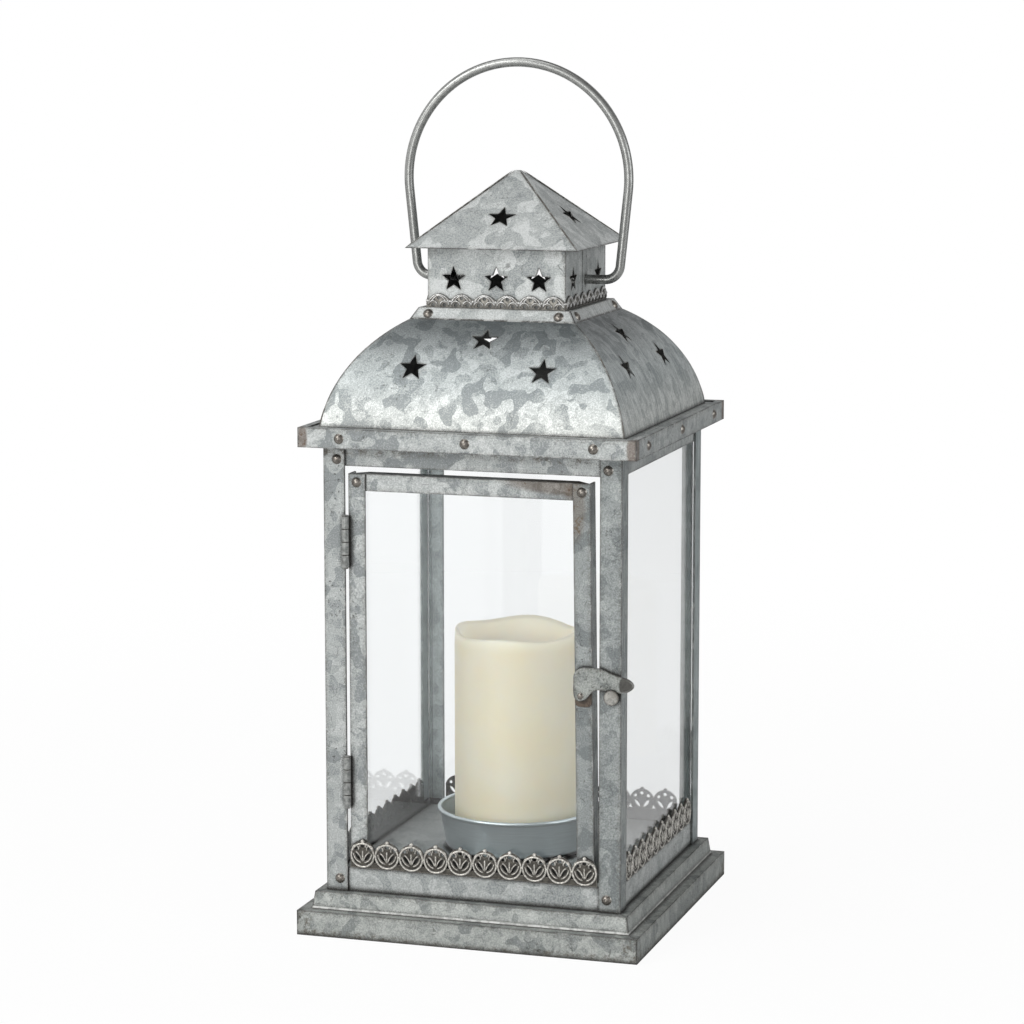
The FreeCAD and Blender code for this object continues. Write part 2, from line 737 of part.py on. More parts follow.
# Bail: one wire, two straight tails through the chimney, two bends, two leaning legs and one large arc
lean = math.radians(bail_lean_degrees)
bail_centre = bail_pivot + bail_centre_rise
leg_top_x = bail_radius * math.cos(lean)
leg_top_z = bail_centre - bail_radius * math.sin(lean)
leg_drop = (leg_top_z - bail_pivot) / math.cos(lean)
leg_foot_x = leg_top_x - leg_drop * math.sin(lean)
bend_turn = math.pi / 2 - lean
bend_reach = bail_bend_radius * math.tan(bend_turn / 2)
bend_x = leg_foot_x - bend_reach
bend_centre_z = bail_pivot + bail_bend_radius
bend_top = Vector(leg_foot_x + bend_reach * math.sin(lean), 0, bail_pivot + bend_reach * math.cos(lean))
bend_middle = Vector(bend_x + bail_bend_radius * math.sin(bend_turn / 2), 0,
                     bend_centre_z - bail_bend_radius * math.cos(bend_turn / 2))
tail_end = Vector(chimney_half - bail_tail, 0, bail_pivot)


def across(point):
    return Vector(-point.x, point.y, point.z)


bend_start = Vector(bend_x, 0, bail_pivot)
leg_top = Vector(leg_top_x, 0, leg_top_z)
bail_path = Part.Wire([
    line(tail_end, bend_start), Part.Arc(bend_start, bend_middle, bend_top).toShape(), line(bend_top, leg_top),
    Part.Arc(leg_top, Vector(0, 0, bail_centre + bail_radius), across(leg_top)).toShape(),
    line(across(leg_top), across(bend_top)),
    Part.Arc(across(bend_top), across(bend_middle), across(bend_start)).toShape(),
    line(across(bend_start), across(tail_end)),
])
bail_section = Part.Wire(Part.makeCircle(bail_wire_radius, tail_end, Vector(1, 0, 0)))
save("bail", bail_path.makePipeShell([bail_section], True, False))

# Door: two stiles lapped over two rails, with returns at the outer edges. It is wider at the foot, so the
# latch stile leans and the gap beside it narrows downwards
hinge_stile_line = [(door_left + stile_face, door_front), (door_left, door_front), (door_left, door_back)]
latch_stile_line = [(door_right - stile_face, door_front), (door_right, door_front), (door_right, door_back)]
inner_left = door_left + door_wall
inner_right = door_right - door_wall


def leaning(points, left_lean, right_lean):
    """A section drawn at the door's top and run down to its foot, where its points have moved outwards."""
    rings = []
    for share, z in ((1, door_low), (0, door_top)):
        ring = [Vector(x + share * (right_lean if x > 0 else left_lean), y, z) for x, y in points]
        rings.append(Part.makePolygon(ring + ring[:1]))
    return Part.makeLoft(rings, True, True)


def door_inside(gap, front, back):
    """The space between the stiles' returns, less a gap at each side, from front to back."""
    low = inner_left + gap
    high = inner_right - gap
    return leaning([(low, front), (high, front), (high, back), (low, back)], 0, door_lean)


def door_rail(face_z, edge_z):
    """A rail whose face runs from face_z to edge_z, with a return at edge_z cut back at 45 degrees."""
    side = 1 if edge_z > face_z else -1
    line_points = [(door_rail_front, face_z), (door_rail_front, edge_z), (door_back, edge_z)]
    points = folded(line_points, -side * door_wall)
    face = closed([Vector(inner_left, y, z) for y, z in points])
    rail = face.extrude(Vector(inner_right + door_lean - inner_left, 0, 0))
    rail = rail.common(door_inside(0, door_rail_front, door_back))
    depth = door_back - door_rail_inner
    right_end = inner_right + door_lean * (door_top - edge_z) / door_height
    far_z = edge_z - side * overrun
    for x, inward in ((inner_left, 1), (right_end, -1)):
        outer_x = x - inward * overrun
        corner = closed([Vector(outer_x, door_rail_inner, far_z), Vector(x, door_rail_inner, far_z),
                         Vector(x + inward * depth, door_back, far_z), Vector(outer_x, door_back, far_z)])
        rail = rail.cut(corner.extrude(Vector(0, 0, side * 2 * overrun)))
    return rail


door_rivet_z = [door_low + door_rivet_inset, door_top - door_rivet_inset]
door_rivet_places = []
for z in door_rivet_z:
    right_edge = door_right + door_lean * (door_top - z) / door_height
    door_rivet_places += [Vector(door_left + door_rivet_inset, door_front, z),
                          Vector(right_edge - door_rivet_inset, door_front, z)]
door_cuts = [rivet_hole(place, outward_front) for place in door_rivet_places]
latch_centre = Vector(latch_x, door_front, latch_z)
latch_hole = rod(latch_pin_radius + rivet_hole_gap, latch_centre - Vector(0, overrun, 0),
                 latch_centre + Vector(0, overrun, 0))
save("door_stile_hinge", bored(leaning(folded(hinge_stile_line, -door_wall), 0, 0), door_cuts))
save("door_stile_latch", bored(leaning(folded(latch_stile_line, door_wall), 0, door_lean), door_cuts + [latch_hole]))
save("door_rail_top", bored(door_rail(door_top - door_rail_face, door_top), door_cuts))
save("door_rail_bottom", bored(door_rail(door_low + door_rail_face, door_low), door_cuts))
low_rivets = [flush_rivet(place, outward_front, 2 * door_wall) for place in door_rivet_places[:2]]
high_rivets = [rivet(place, outward_front, 2 * door_wall) for place in door_rivet_places[2:]]
save("door_rivets", *low_rivets, *high_rivets)

door_glass_front = door_rail_inner + glass_back_gap
door_glass_back = door_glass_front + glass_thickness
door_glass_space = door_inside(glass_end_gap, door_glass_front, door_glass_back)
save("door_glass", door_glass_space.common(block(inner_left, inner_right + door_lean, door_glass_front, door_glass_back,
                                                 door_low + door_wall + glass_end_gap,
                                                 door_top - door_wall - glass_end_gap)))
door_tabs = []
door_middle = (door_left + door_right) / 2
for edge_z, side in ((door_low + door_wall, 1), (door_top - door_wall, -1)):
    for place in (door_middle - tab_place_share * opening_half, door_middle + tab_place_share * opening_half):
        tab_y = door_glass_back + tab_gap
        z_ends = sorted((edge_z, edge_z + side * tab_length))
        foot_ends = sorted((edge_z, edge_z + side * tab_wall))
        leg = block(place - tab_width / 2, place + tab_width / 2, tab_y, tab_y + tab_wall, *z_ends)
        foot = block(place - tab_width / 2, place + tab_width / 2, tab_y, tab_y + tab_foot, *foot_ends)
        door_tabs.append(leg.fuse(foot).removeSplitter())
save("door_glass_tabs", *door_tabs)

door_lace = lace_strip(lace_pitch, door_low, door_front - lace_thickness)
door_lace.translate(Vector(door_left + lace_end_inset + lace_rings * lace_pitch / 2, 0, 0))
save("door_lace", door_lace)

# Hinges: the frame's knuckles and leaf, the door's knuckles and leaf, and a pin with two heads
knuckle_step = (hinge_length + knuckle_gap) / knuckle_count
knuckle_height = knuckle_step - knuckle_gap
hinge_lows = [door_low + share * door_height - hinge_length / 2 for share in (hinge_low_share, hinge_high_share)]
frame_leaf_x = [-opening_half, -opening_half + leaf_wall]
door_leaf_x = [door_left - leaf_wall, door_left]


def knuckles(low, leaf_x, which):
    """The knuckles of one leaf, each with the short web that joins it to the leaf."""
    pieces = []
    for i in which:
        z = low + i * knuckle_step
        pieces.append(Part.makeCylinder(knuckle_radius, knuckle_height, Vector(hinge_x, hinge_y, z)))
        pieces.append(block(leaf_x[0], leaf_x[1], hinge_y, door_front, z, z + knuckle_height))
    return pieces


def leaf(low, plate, leaf_x, which):
    bore = Part.makeCylinder(pin_radius + pin_fit, hinge_length + 2 * overrun, Vector(hinge_x, hinge_y, low - overrun))
    return plate.fuse(knuckles(low, leaf_x, which)).removeSplitter().cut(bore)


frame_leaves = []
door_leaves = []
pins = []
for low in hinge_lows:
    high = low + hinge_length
    in_gap = block(frame_leaf_x[0], frame_leaf_x[1], door_front, -post_inner + leaf_wall, low, high)
    behind = block(frame_leaf_x[0] - frame_leaf_width, frame_leaf_x[1], -post_inner, -post_inner + leaf_wall, low, high)
    frame_leaves.append(leaf(low, in_gap.fuse(behind), frame_leaf_x, range(0, knuckle_count, 2)))
    on_stile = block(door_leaf_x[0], door_leaf_x[1], door_front, door_front + door_leaf_width, low, high)
    door_leaves.append(leaf(low, on_stile, door_leaf_x, range(1, knuckle_count, 2)))
    pin_foot = Vector(hinge_x, hinge_y, low)
    pin_top = Vector(hinge_x, hinge_y, high)
    ends = [Part.makeCylinder(pin_head_radius, pin_head_height, pin_foot - Vector(0, 0, pin_head_height)),
            Part.makeCylinder(pin_head_radius, pin_head_height, pin_top)]
    pins.append(rod(pin_radius, pin_foot, pin_top).fuse(ends).removeSplitter())
save("hinge_frame_leaves", *frame_leaves)
save("hinge_door_leaves", *door_leaves)
save("hinge_pins", *pins)

# Latch: back plate, lever, its pivot rivet, and the headed keeper stud on the post
plate_z = latch_z - latch_plate_drop
plate_x = latch_x + latch_pivot_inset - stile_face / 2
latch_plate = block(plate_x - latch_plate_width / 2, plate_x + latch_plate_width / 2,
                    door_front - latch_plate_wall, door_front, plate_z, plate_z + latch_plate_height)
plate_corners = [edge for edge in latch_plate.Edges
                 if abs(edge.Vertexes[0].Point.y - edge.Vertexes[1].Point.y) > latch_plate_wall / 2]
save("latch_backplate", latch_plate.makeFillet(latch_plate_corner, plate_corners).cut(latch_hole))

lever_points = [Vector(latch_x + x * lever_reach, lever_back, latch_z + z * lever_rise)
                for x, z in lever_edge_shares]
lever_curve = Part.BSplineCurve()
lever_curve.interpolate(lever_points, PeriodicFlag=True)
lever = Part.Face(Part.Wire(lever_curve.toShape())).extrude(Vector(0, -lever_wall, 0))
save("latch_lever", lever.cut(latch_hole))
pin_front = Vector(latch_x, lever_front - rivet_hole_gap, latch_z)
pin_back = Vector(latch_x, door_front + door_wall, latch_z)
latch_rivet = rod(latch_pin_radius, pin_front, pin_back)
latch_rivet = latch_rivet.fuse([
    domed_head(latch_pin_head_radius, latch_pin_head_height, pin_front, outward_front),
    rod(rivet_tail_radius, pin_back, pin_back + Vector(0, rivet_tail_height, 0)),
])
save("latch_rivet", latch_rivet.removeSplitter())

keeper_front = lever_front - lever_gap
keeper = rod(keeper_neck_radius, Vector(keeper_x, door_front, keeper_z), Vector(keeper_x, keeper_front, keeper_z))
keeper = keeper.fuse([
    rod(keeper_head_radius, Vector(keeper_x, keeper_front, keeper_z),
        Vector(keeper_x, keeper_front - keeper_head_wall, keeper_z)),
    rod(rivet_shank_radius, Vector(keeper_x, door_front, keeper_z), keeper_back),
    rod(rivet_tail_radius, keeper_back, keeper_back + Vector(0, rivet_tail_height, 0)),
])
save("latch_keeper", keeper.removeSplitter())

# Candle cup: a spun dish with a rounded foot and a beaded rim
cup_radius = candle_radius + cup_gap
cup_foot_radius = candle_radius + cup_foot_margin
cup_low = floor_top
cup_top = cup_low + cup_height
cup_seat = cup_low + sheet


def cup_line(shift):
    """The dish's outer line, or its inner line when shifted by the sheet's thickness."""
    foot_x = cup_foot_radius - cup_corner_radius
    corner = cup_corner_radius - shift
    corner_z = cup_low + cup_corner_radius
    middle = (foot_x + corner * math.sin(math.pi / 4), corner_z - corner * math.cos(math.pi / 4))
    return [(0, cup_low + shift), (foot_x, cup_low + shift), middle, (foot_x + corner, corner_z),
            (cup_radius - cup_bead_radius - shift, cup_top - cup_bead_radius)]


def dish_point(point):
    return Vector(point[0], 0, point[1])


outer = [dish_point(p) for p in cup_line(0)]
inner = [dish_point(p) for p in cup_line(sheet)]
cup_section = Part.Face(Part.Wire([
    line(outer[0], outer[1]), Part.Arc(outer[1], outer[2], outer[3]).toShape(), line(outer[3], outer[4]),
    line(outer[4], inner[4]), line(inner[4], inner[3]), Part.Arc(inner[3], inner[2], inner[1]).toShape(),
    line(inner[1], inner[0]), line(inner[0], outer[0]),
]))
cup = cup_section.revolve(Vector(0, 0, 0), Vector(0, 0, 1), 360)
bead = Part.makeTorus(cup_radius - cup_bead_radius, cup_bead_radius, Vector(0, 0, cup_top - cup_bead_radius))
save("candle_cup", cup.fuse(bead))

# Candle: a wax shell with a melted rim, over a core that holds the cells, the lamp and the switch
candle_low = cup_seat
candle_top = candle_low + candle_height
recess_floor = candle_top - candle_wave - recess_depth
core_low = candle_low + core_inset
core_top = core_low + core_height
core_radius = candle_radius - core_inset_wall
cavity_radius = core_radius + core_fit
wave_points = [Vector(-reach, y * candle_radius, candle_top + z * candle_wave)
               for y, z in candle_wave_shares]
wave_curve = Part.BSplineCurve()
wave_curve.interpolate(wave_points)
under_left = Vector(-reach, wave_points[0].y, candle_low)
under_right = Vector(-reach, wave_points[-1].y, candle_low)
wave_face = ring_face([wave_curve.toShape(), line(wave_points[-1], under_right),
                       line(under_right, under_left), line(under_left, wave_points[0])])
under_wave = wave_face.extrude(Vector(2 * reach, 0, 0))
axis_up = Vector(0, 0, 1)
shell = Part.makeCylinder(candle_radius, candle_height + candle_wave, Vector(0, 0, candle_low)).common(under_wave)
recess_radius = candle_radius - recess_wall
recess = Part.makeCone(recess_radius - recess_taper, recess_radius, candle_top + candle_wave - recess_floor,
                       Vector(0, 0, recess_floor))
cavity = Part.makeCylinder(cavity_radius, core_top - candle_low + core_fit, Vector(0, 0, candle_low))
stem_bore = Part.makeCylinder(stem_radius + core_fit, recess_floor - core_top + overrun, Vector(0, 0, core_top))
save("candle_shell", shell.cut([recess, cavity, stem_bore]))

stem_top = recess_floor
core = Part.makeCylinder(core_radius, core_height, Vector(0, 0, core_low))
core = core.fuse(Part.makeCylinder(stem_radius, stem_top - core_top, Vector(0, 0, core_top))).removeSplitter()
cover_top = core_low + cover_wall
bay_top = cover_top + cell_length + cell_nub_height + 2 * cell_end_gap
bays = [Part.makeCylinder(cell_radius + cell_fit, bay_top - core_low, Vector(sign * cell_spacing / 2, 0, core_low))
        for sign in (-1, 1)]
cover_pocket = block(-cover_length / 2 - cover_fit, cover_length / 2 + cover_fit, -cover_width / 2 - cover_fit,
                     cover_width / 2 + cover_fit, core_low, cover_top)
switch_pocket = block(-switch_length / 2 - switch_fit, switch_length / 2 + switch_travel + switch_fit,
                      switch_place - switch_width / 2 - switch_fit, switch_place + switch_width / 2 + switch_fit,
                      core_low, core_low + switch_wall + switch_fit)
save("candle_core", core.cut(bays + [cover_pocket, switch_pocket]))
save("candle_cover", block(-cover_length / 2, cover_length / 2, -cover_width / 2, cover_width / 2,
                           core_low, cover_top))
cells = []
for sign in (-1, 1):
    foot = Vector(sign * cell_spacing / 2, 0, cover_top + cell_end_gap)
    can = Part.makeCylinder(cell_radius, cell_length, foot)
    nub = Part.makeCylinder(cell_nub_radius, cell_nub_height, foot + axis_up * cell_length)
    cells.append(can.fuse(nub).removeSplitter())
save("candle_cells", *cells)
led_stem = Part.makeCylinder(led_radius, led_height - led_radius, Vector(0, 0, stem_top))
led_tip = Part.makeSphere(led_radius, Vector(0, 0, stem_top + led_height - led_radius), axis_up, 0, 90, 360)
save("candle_lamp", led_stem.fuse(led_tip).removeSplitter())
slider = block(-switch_length / 2, switch_length / 2, switch_place - switch_width / 2,
               switch_place + switch_width / 2, core_low, core_low + switch_wall)
knob = block(-switch_knob / 2, switch_knob / 2, switch_place - switch_knob / 2, switch_place + switch_knob / 2,
             core_low - switch_knob_height, core_low)
save("candle_switch", slider.fuse(knob).removeSplitter())
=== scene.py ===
import math
from collections import namedtuple

import bmesh
import bpy
import numpy as np
from bpy.props import FloatProperty, FloatVectorProperty, IntProperty, PointerProperty
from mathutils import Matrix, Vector


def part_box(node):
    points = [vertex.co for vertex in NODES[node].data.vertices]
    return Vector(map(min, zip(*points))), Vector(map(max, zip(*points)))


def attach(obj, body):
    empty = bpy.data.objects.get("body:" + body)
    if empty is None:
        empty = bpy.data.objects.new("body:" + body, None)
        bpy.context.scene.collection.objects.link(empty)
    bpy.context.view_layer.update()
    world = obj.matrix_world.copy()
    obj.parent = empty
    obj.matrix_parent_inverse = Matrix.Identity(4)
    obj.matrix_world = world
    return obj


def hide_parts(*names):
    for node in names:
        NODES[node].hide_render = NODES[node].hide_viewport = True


bl_info = {
    "name": "Square Sheet Lantern",
    "version": (1, 0, 0),
    "blender": (4, 5, 0),
    "location": "3D View > Sidebar > Lantern",
    "description": "Finishes a galvanised lantern with pewter lace, a wax pillar candle and a pale studio",
    "category": "Object",
}

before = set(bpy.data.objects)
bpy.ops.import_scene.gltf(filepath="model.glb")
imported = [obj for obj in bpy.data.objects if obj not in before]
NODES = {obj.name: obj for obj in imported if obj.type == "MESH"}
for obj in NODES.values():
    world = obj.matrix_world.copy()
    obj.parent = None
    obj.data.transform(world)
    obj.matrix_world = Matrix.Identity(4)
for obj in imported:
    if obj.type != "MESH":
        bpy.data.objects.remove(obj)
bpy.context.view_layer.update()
MM = 0.001
SIDES = ("front", "right", "back", "left")
QUARTER = math.pi / 2
WHITE = (1.0, 1.0, 1.0, 1.0)
UNSCALED = (1.0, 1.0, 1.0)
FORWARD = (0.0, -1.0, 0.0)


# Colours are written as they look, and turned to linear light where a shader takes them

def seen(red, green, blue):
    """A colour as it is seen on a screen, from 0 to 255, as a property's default."""
    return (red / 255, green / 255, blue / 255)


def linear(colour):
    """The screen's curve undone, channel by channel, with a solid alpha."""
    part = [c / 12.92 if c <= 0.04045 else ((c + 0.055) / 1.055) ** 2.4 for c in colour]
    return (part[0], part[1], part[2], 1.0)


def colour_property(name, description, default):
    return FloatVectorProperty(name=name, description=description, default=default, size=3,
                               min=0.0, max=1.0, subtype="COLOR_GAMMA")


def length_property(name, description, default):
    return FloatProperty(name=name, description=description, default=default, min=0.0,
                         precision=5, unit="LENGTH", subtype="DISTANCE")


class SheetFinish(bpy.types.PropertyGroup):
    """Colours and scale of the hot-dipped zinc."""
    dark: colour_property("Dark patch", "Zinc crystals turned from the light", seen(134, 139, 140))
    middle: colour_property("Middle tone", "The sheet's general tone", seen(167, 171, 170))
    light: colour_property("Light patch", "Zinc crystals turned to the light", seen(197, 200, 199))
    # This colour is worn bare metal, and also a painted highlight along edges and folds
    edge: colour_property("Rubbed edge", "Bare bright metal along folds", seen(222, 223, 220))
    # This colour is dirt, and also the painted shade in corners and the dark line of shade along edges
    grime: colour_property("Grime", "Dirt in creases and spots", seen(46, 44, 41))
    corner_rust: colour_property("Corner rust", "Rust on the eave's cut corners", seen(86, 62, 42))
    rail_rust: colour_property("Rail rust", "Rust along the door's top rail", seen(80, 60, 38))
    end_rust: colour_property("Rail end rust", "Rust round the rail's last rivet", seen(84, 64, 44))
    stile_rust: colour_property("Stile rust", "Rust at the top of the latch stile", seen(96, 78, 58))
    stain: colour_property("Stain", "Brown dirt along edges", seen(92, 86, 76))
    patches: FloatProperty(name="Patches per metre", description="How many crystals lie along a metre",
                           default=80.0, min=1.0)


class FittingFinish(bpy.types.PropertyGroup):
    """Colours of rivets, hinges, wire and trim."""
    rivet: colour_property("Rivet", "Dull brown steel of the heads", seen(122, 117, 111))
    wire: colour_property("Wire", "Dull wire of the bail", seen(148, 149, 147))
    hinge: colour_property("Hinge", "Plain steel of the hinges", seen(142, 144, 142))
    pewter: colour_property("Pewter", "Cast trim where it is rubbed", seen(206, 203, 196))
    pewter_dark: colour_property("Dark pewter", "Cast trim in its hollows", seen(76, 73, 67))
    # A dark brown for the plate under the latch
    plate_dark_brown: colour_property("Plate rust", "Brown plate under the latch", seen(84, 72, 62))
    # The lever tip's dark colour is painted shade
    lever_tip_shade: colour_property("Lever tip", "Dark worn thumb rest of the lever", seen(48, 43, 38))


class CandleShape(bpy.types.PropertyGroup):
    """Sizes and colours of the wax pillar."""
    wax: colour_property("Wax", "Ivory wax", seen(227, 222, 202))
    lip_wall: length_property("Lip wall", "Thickness of the melted rim", 3.6 * MM)
    lip_round: length_property("Lip rounding", "Radius of the rim's outer shoulder", 1.7 * MM)
    bowl_depth: length_property("Bowl depth", "Depth of the hollow under the rim's highest point", 17.0 * MM)
    wave: length_property("Rim wave", "Height of the rim's waves", 1.0 * MM)
    # The glow is painted light, an emission that brightens the wax of an unlit candle
    glow: FloatProperty(name="Inner glow", description="Daylight that wanders through the wax",
                        default=0.10, min=0.0)
    around: IntProperty(name="Steps around", description="Columns of the wax surface", default=192, min=24)


class LaceShape(bpy.types.PropertyGroup):
    """Sizes of the cast relief on the lace strips."""
    ring_radius: length_property("Ring radius", "Outline radius of one medallion", 7.9 * MM)
    bead_radius: length_property("Bead radius", "Bead on top of a medallion", 1.1 * MM)
    rope_radius: length_property("Ring wire", "Half width of the bright round ring", 0.66 * MM)
    vein_radius: length_property("Vein", "Half width of the thin ribs", 0.46 * MM)
    proud: length_property("Relief height", "How far the ring stands off its plate", 0.75 * MM)
    medallions: IntProperty(name="Medallions", description="Medallions on one strip", default=10, min=1)
    arches: IntProperty(name="Arches", description="Arches on one side of the chimney", default=6, min=1)


class StudioSetup(bpy.types.PropertyGroup):
    """Camera and light."""
    azimuth: FloatProperty(name="Azimuth", description="Camera's turn from the front", default=17.44)
    elevation: FloatProperty(name="Elevation", description="Camera's height angle", default=8.763)
    distance: length_property("Distance", "Camera to its aim", 1.9532)
    aim_height: length_property("Aim height", "Height that the camera looks at", 0.2419)
    lens: FloatProperty(name="Lens", description="Focal length in millimetres", default=114.455)
    shift: FloatProperty(name="Shift", description="Sideways shift of the frame", default=-0.0057)
    floor: colour_property("Floor", "Pale floor", seen(244, 244, 244))


# Shader trees

class Bench:
    """Places nodes in one shader tree and joins them."""

    def __init__(self, tree):
        self.tree = tree

    def node(self, kind, inputs=None, **options):
        node = self.tree.nodes.new(kind)
        for option, value in options.items():
            setattr(node, option, value)
        for socket, value in (inputs or {}).items():
            if isinstance(value, bpy.types.NodeSocket):
                self.tree.links.new(value, node.inputs[socket])
            else:
                node.inputs[socket].default_value = value
        return node

    def feed(self, sockets, values):
        """Joins each value to the socket of its name."""
        for name, value in values.items():
            self.tree.links.new(value, sockets[name])

    def math(self, operation, *values, clamp=False):
        return self.node("ShaderNodeMath", dict(enumerate(values)), operation=operation,
                         use_clamp=clamp).outputs[0]

    def times(self, first, second, clamp=False):
        return self.math("MULTIPLY", first, second, clamp=clamp)

    def vector(self, operation, *values, output=0):
        return self.node("ShaderNodeVectorMath", dict(enumerate(values)), operation=operation).outputs[output]

    def scaled(self, vector, factor):
        return self.node("ShaderNodeVectorMath", {0: vector, "Scale": factor}, operation="SCALE").outputs[0]

    def measure(self, operation, *values):
        """A number that vectors give, such as a length or a dot product."""
        return self.vector(operation, *values, output="Value")

    def parts(self, vector):
        return self.node("ShaderNodeSeparateXYZ", {0: vector}).outputs

    def between(self, value, low, high, to_low=0.0, to_high=1.0):
        """A smooth step from to_low to to_high as the value goes from low to high."""
        return self.node("ShaderNodeMapRange", {"Value": value, "From Min": low, "From Max": high,
                                                "To Min": to_low, "To Max": to_high},
                         interpolation_type="SMOOTHSTEP").outputs["Result"]

    def level(self, share, first, second):
        """A number on the way from the first to the second. Sockets 2 and 3 take numbers."""
        return self.node("ShaderNodeMix", {0: share, 2: first, 3: second}, data_type="FLOAT").outputs[0]

    def blend(self, share, first, second, mode="MIX"):
        """A colour on the way from the first to the second. Sockets 6 and 7 take colours."""
        return self.node("ShaderNodeMix", {0: share, 6: first, 7: second},
                         data_type="RGBA", blend_type=mode).outputs[2]

    def cover(self, colour, mask, weight, paint):
        """The colour under a coat of paint that is as thick as the mask times the weight."""
        return self.blend(self.times(mask, weight), colour, linear(paint))

    def noise(self, place, scale, detail=3.0, roughness=0.5, distortion=0.0, output=0):
        return self.node("ShaderNodeTexNoise", {
            "Vector": place, "Scale": scale, "Detail": detail, "Roughness": roughness,
            "Distortion": distortion}).outputs[output]

    def cells(self, place, scale, feature="F1"):
        return self.node("ShaderNodeTexVoronoi", {"Vector": place, "Scale": scale}, feature=feature).outputs

    def stretched(self, place, scales, offset=(0.0, 0.0, 0.0)):
        return self.node("ShaderNodeMapping", {
            "Vector": place, "Location": offset, "Scale": scales}).outputs[0]

    def bump(self, height, strength, depth):
        return self.node("ShaderNodeBump", {
            "Height": height, "Strength": strength, "Distance": depth}).outputs[0]

    def group(self, tree, **inputs):
        return self.node("ShaderNodeGroup", inputs, node_tree=tree).outputs


def effect(name, inputs, outputs):
    """A new node group with named sockets, its input and output nodes and a bench to fill it."""
    tree = bpy.data.node_groups.new(name, "ShaderNodeTree")
    for label, kind, default in inputs:
        socket = tree.interface.new_socket(label, in_out="INPUT", socket_type=kind)
        if default is not None:
            socket.default_value = default
    for label in outputs:
        tree.interface.new_socket(label, in_out="OUTPUT", socket_type="NodeSocketFloat")
    given = tree.nodes.new("NodeGroupInput")
    result = tree.nodes.new("NodeGroupOutput")
    return tree, given.outputs, result.inputs, Bench(tree)


FLOAT = "NodeSocketFloat"
VECTOR = "NodeSocketVector"


def spangle_effect():
    """Zinc spangle: thresholded noises give rounded dark and light patches that fade in and out, small cells
    shift the tone inside them and their borders give thin outlines, and fine noise is the grain."""
    tree, given, result, b = effect("zinc_spangle", [
        ("Vector", VECTOR, None), ("Patches", FLOAT, 80.0)], ["Tone", "Outline", "Grain"])
    place = given["Vector"]
    large, small = given["Patches"], b.times(given["Patches"], 1.8)
    wander = b.vector("SUBTRACT", b.noise(place, 120.0, 1.0, output="Color"), (0.5, 0.5, 0.5))
    warped = b.vector("ADD", place, b.scaled(wander, 0.006))
    fade = b.between(b.noise(place, 34.0, 2.0), 0.30, 0.56, 0.15, 1.0)
    veil = b.between(b.noise(place, 29.0, 2.0, distortion=0.5), 0.34, 0.60, 0.10, 1.0)
    tone = b.math("MULTIPLY_ADD", b.noise(place, 26.0, 5.0, 0.65, 0.5), 0.6, 0.26)
    for scale, away, low, high, mask, weight in ((large, 0.0, 0.568, 0.582, fade, -0.42),
                                                 (large, 3.7, 0.625, 0.645, veil, 0.16),
                                                 (small, 7.1, 0.605, 0.620, fade, -0.24),
                                                 (small, 9.4, 0.630, 0.650, veil, 0.14)):
        moved = b.vector("ADD", warped, (away, 0.3 * away, -away))
        blot = b.between(b.noise(moved, scale, 0.0), low, high)
        tone = b.math("MULTIPLY_ADD", b.times(blot, mask), weight, tone)
    cell = b.node("ShaderNodeSeparateColor", {0: b.cells(warped, small)["Color"]}).outputs[1]
    tone = b.math("MULTIPLY_ADD", b.math("SUBTRACT", cell, 0.5), 0.07, tone)
    border = b.cells(warped, small, "DISTANCE_TO_EDGE")["Distance"]
    b.feed(result, {
        "Tone": b.math("ADD", tone, 0.0, clamp=True),
        "Outline": b.times(b.between(border, 0.06, 0.015), b.between(b.noise(place, 90.0, 2.0), 0.54, 0.66)),
        "Grain": b.noise(place, 1350.0, 2.0, 0.6)})
    return tree


def edge_effect():
    """Edges: where a rounded normal leaves the true one an edge is near. Close to it lies a dark line of
    painted shade, beside that the metal is rubbed bright as wear and painted highlight, and noise breaks both
    into lengths. Near is a wider dirty fringe, and the last output is high in corners, as painted shade."""
    tree, given, result, b = effect("edge_wear_and_shading", [
        ("Vector", VECTOR, None), ("Width", FLOAT, 1.7 * MM), ("Break", FLOAT, 0.46)],
        ["Near", "Rub_and_highlight", "Line", "Corner_shade"])
    true_normal = b.node("ShaderNodeNewGeometry").outputs["Normal"]

    def agreement(radius, samples):
        rounded = b.node("ShaderNodeBevel", {"Radius": radius}, samples=samples).outputs[0]
        return b.measure("DOT_PRODUCT", rounded, true_normal)

    narrow = agreement(given["Width"], 5)
    broad = agreement(b.times(given["Width"], 2.2), 4)
    length = b.noise(given["Vector"], 120.0, 4.0, 0.65)
    fine = b.between(b.noise(given["Vector"], 620.0, 4.0, 0.7), 0.42, 0.60)
    rubbed = b.between(length, b.math("SUBTRACT", given["Break"], 0.08), b.math("ADD", given["Break"], 0.12))
    inked = b.between(length, 0.64, 0.52, 0.45, 1.0)
    shut = b.node("ShaderNodeAmbientOcclusion", {"Distance": 4.2 * MM}, samples=6).outputs["AO"]
    b.feed(result, {
        "Near": b.times(b.between(broad, 0.9995, 0.975), fine),
        "Rub_and_highlight": b.times(b.between(narrow, 0.99, 0.94), rubbed),
        "Line": b.times(b.between(narrow, 0.965, 0.87), inked),
        "Corner_shade": b.between(shut, 0.88, 0.66)})
    return tree


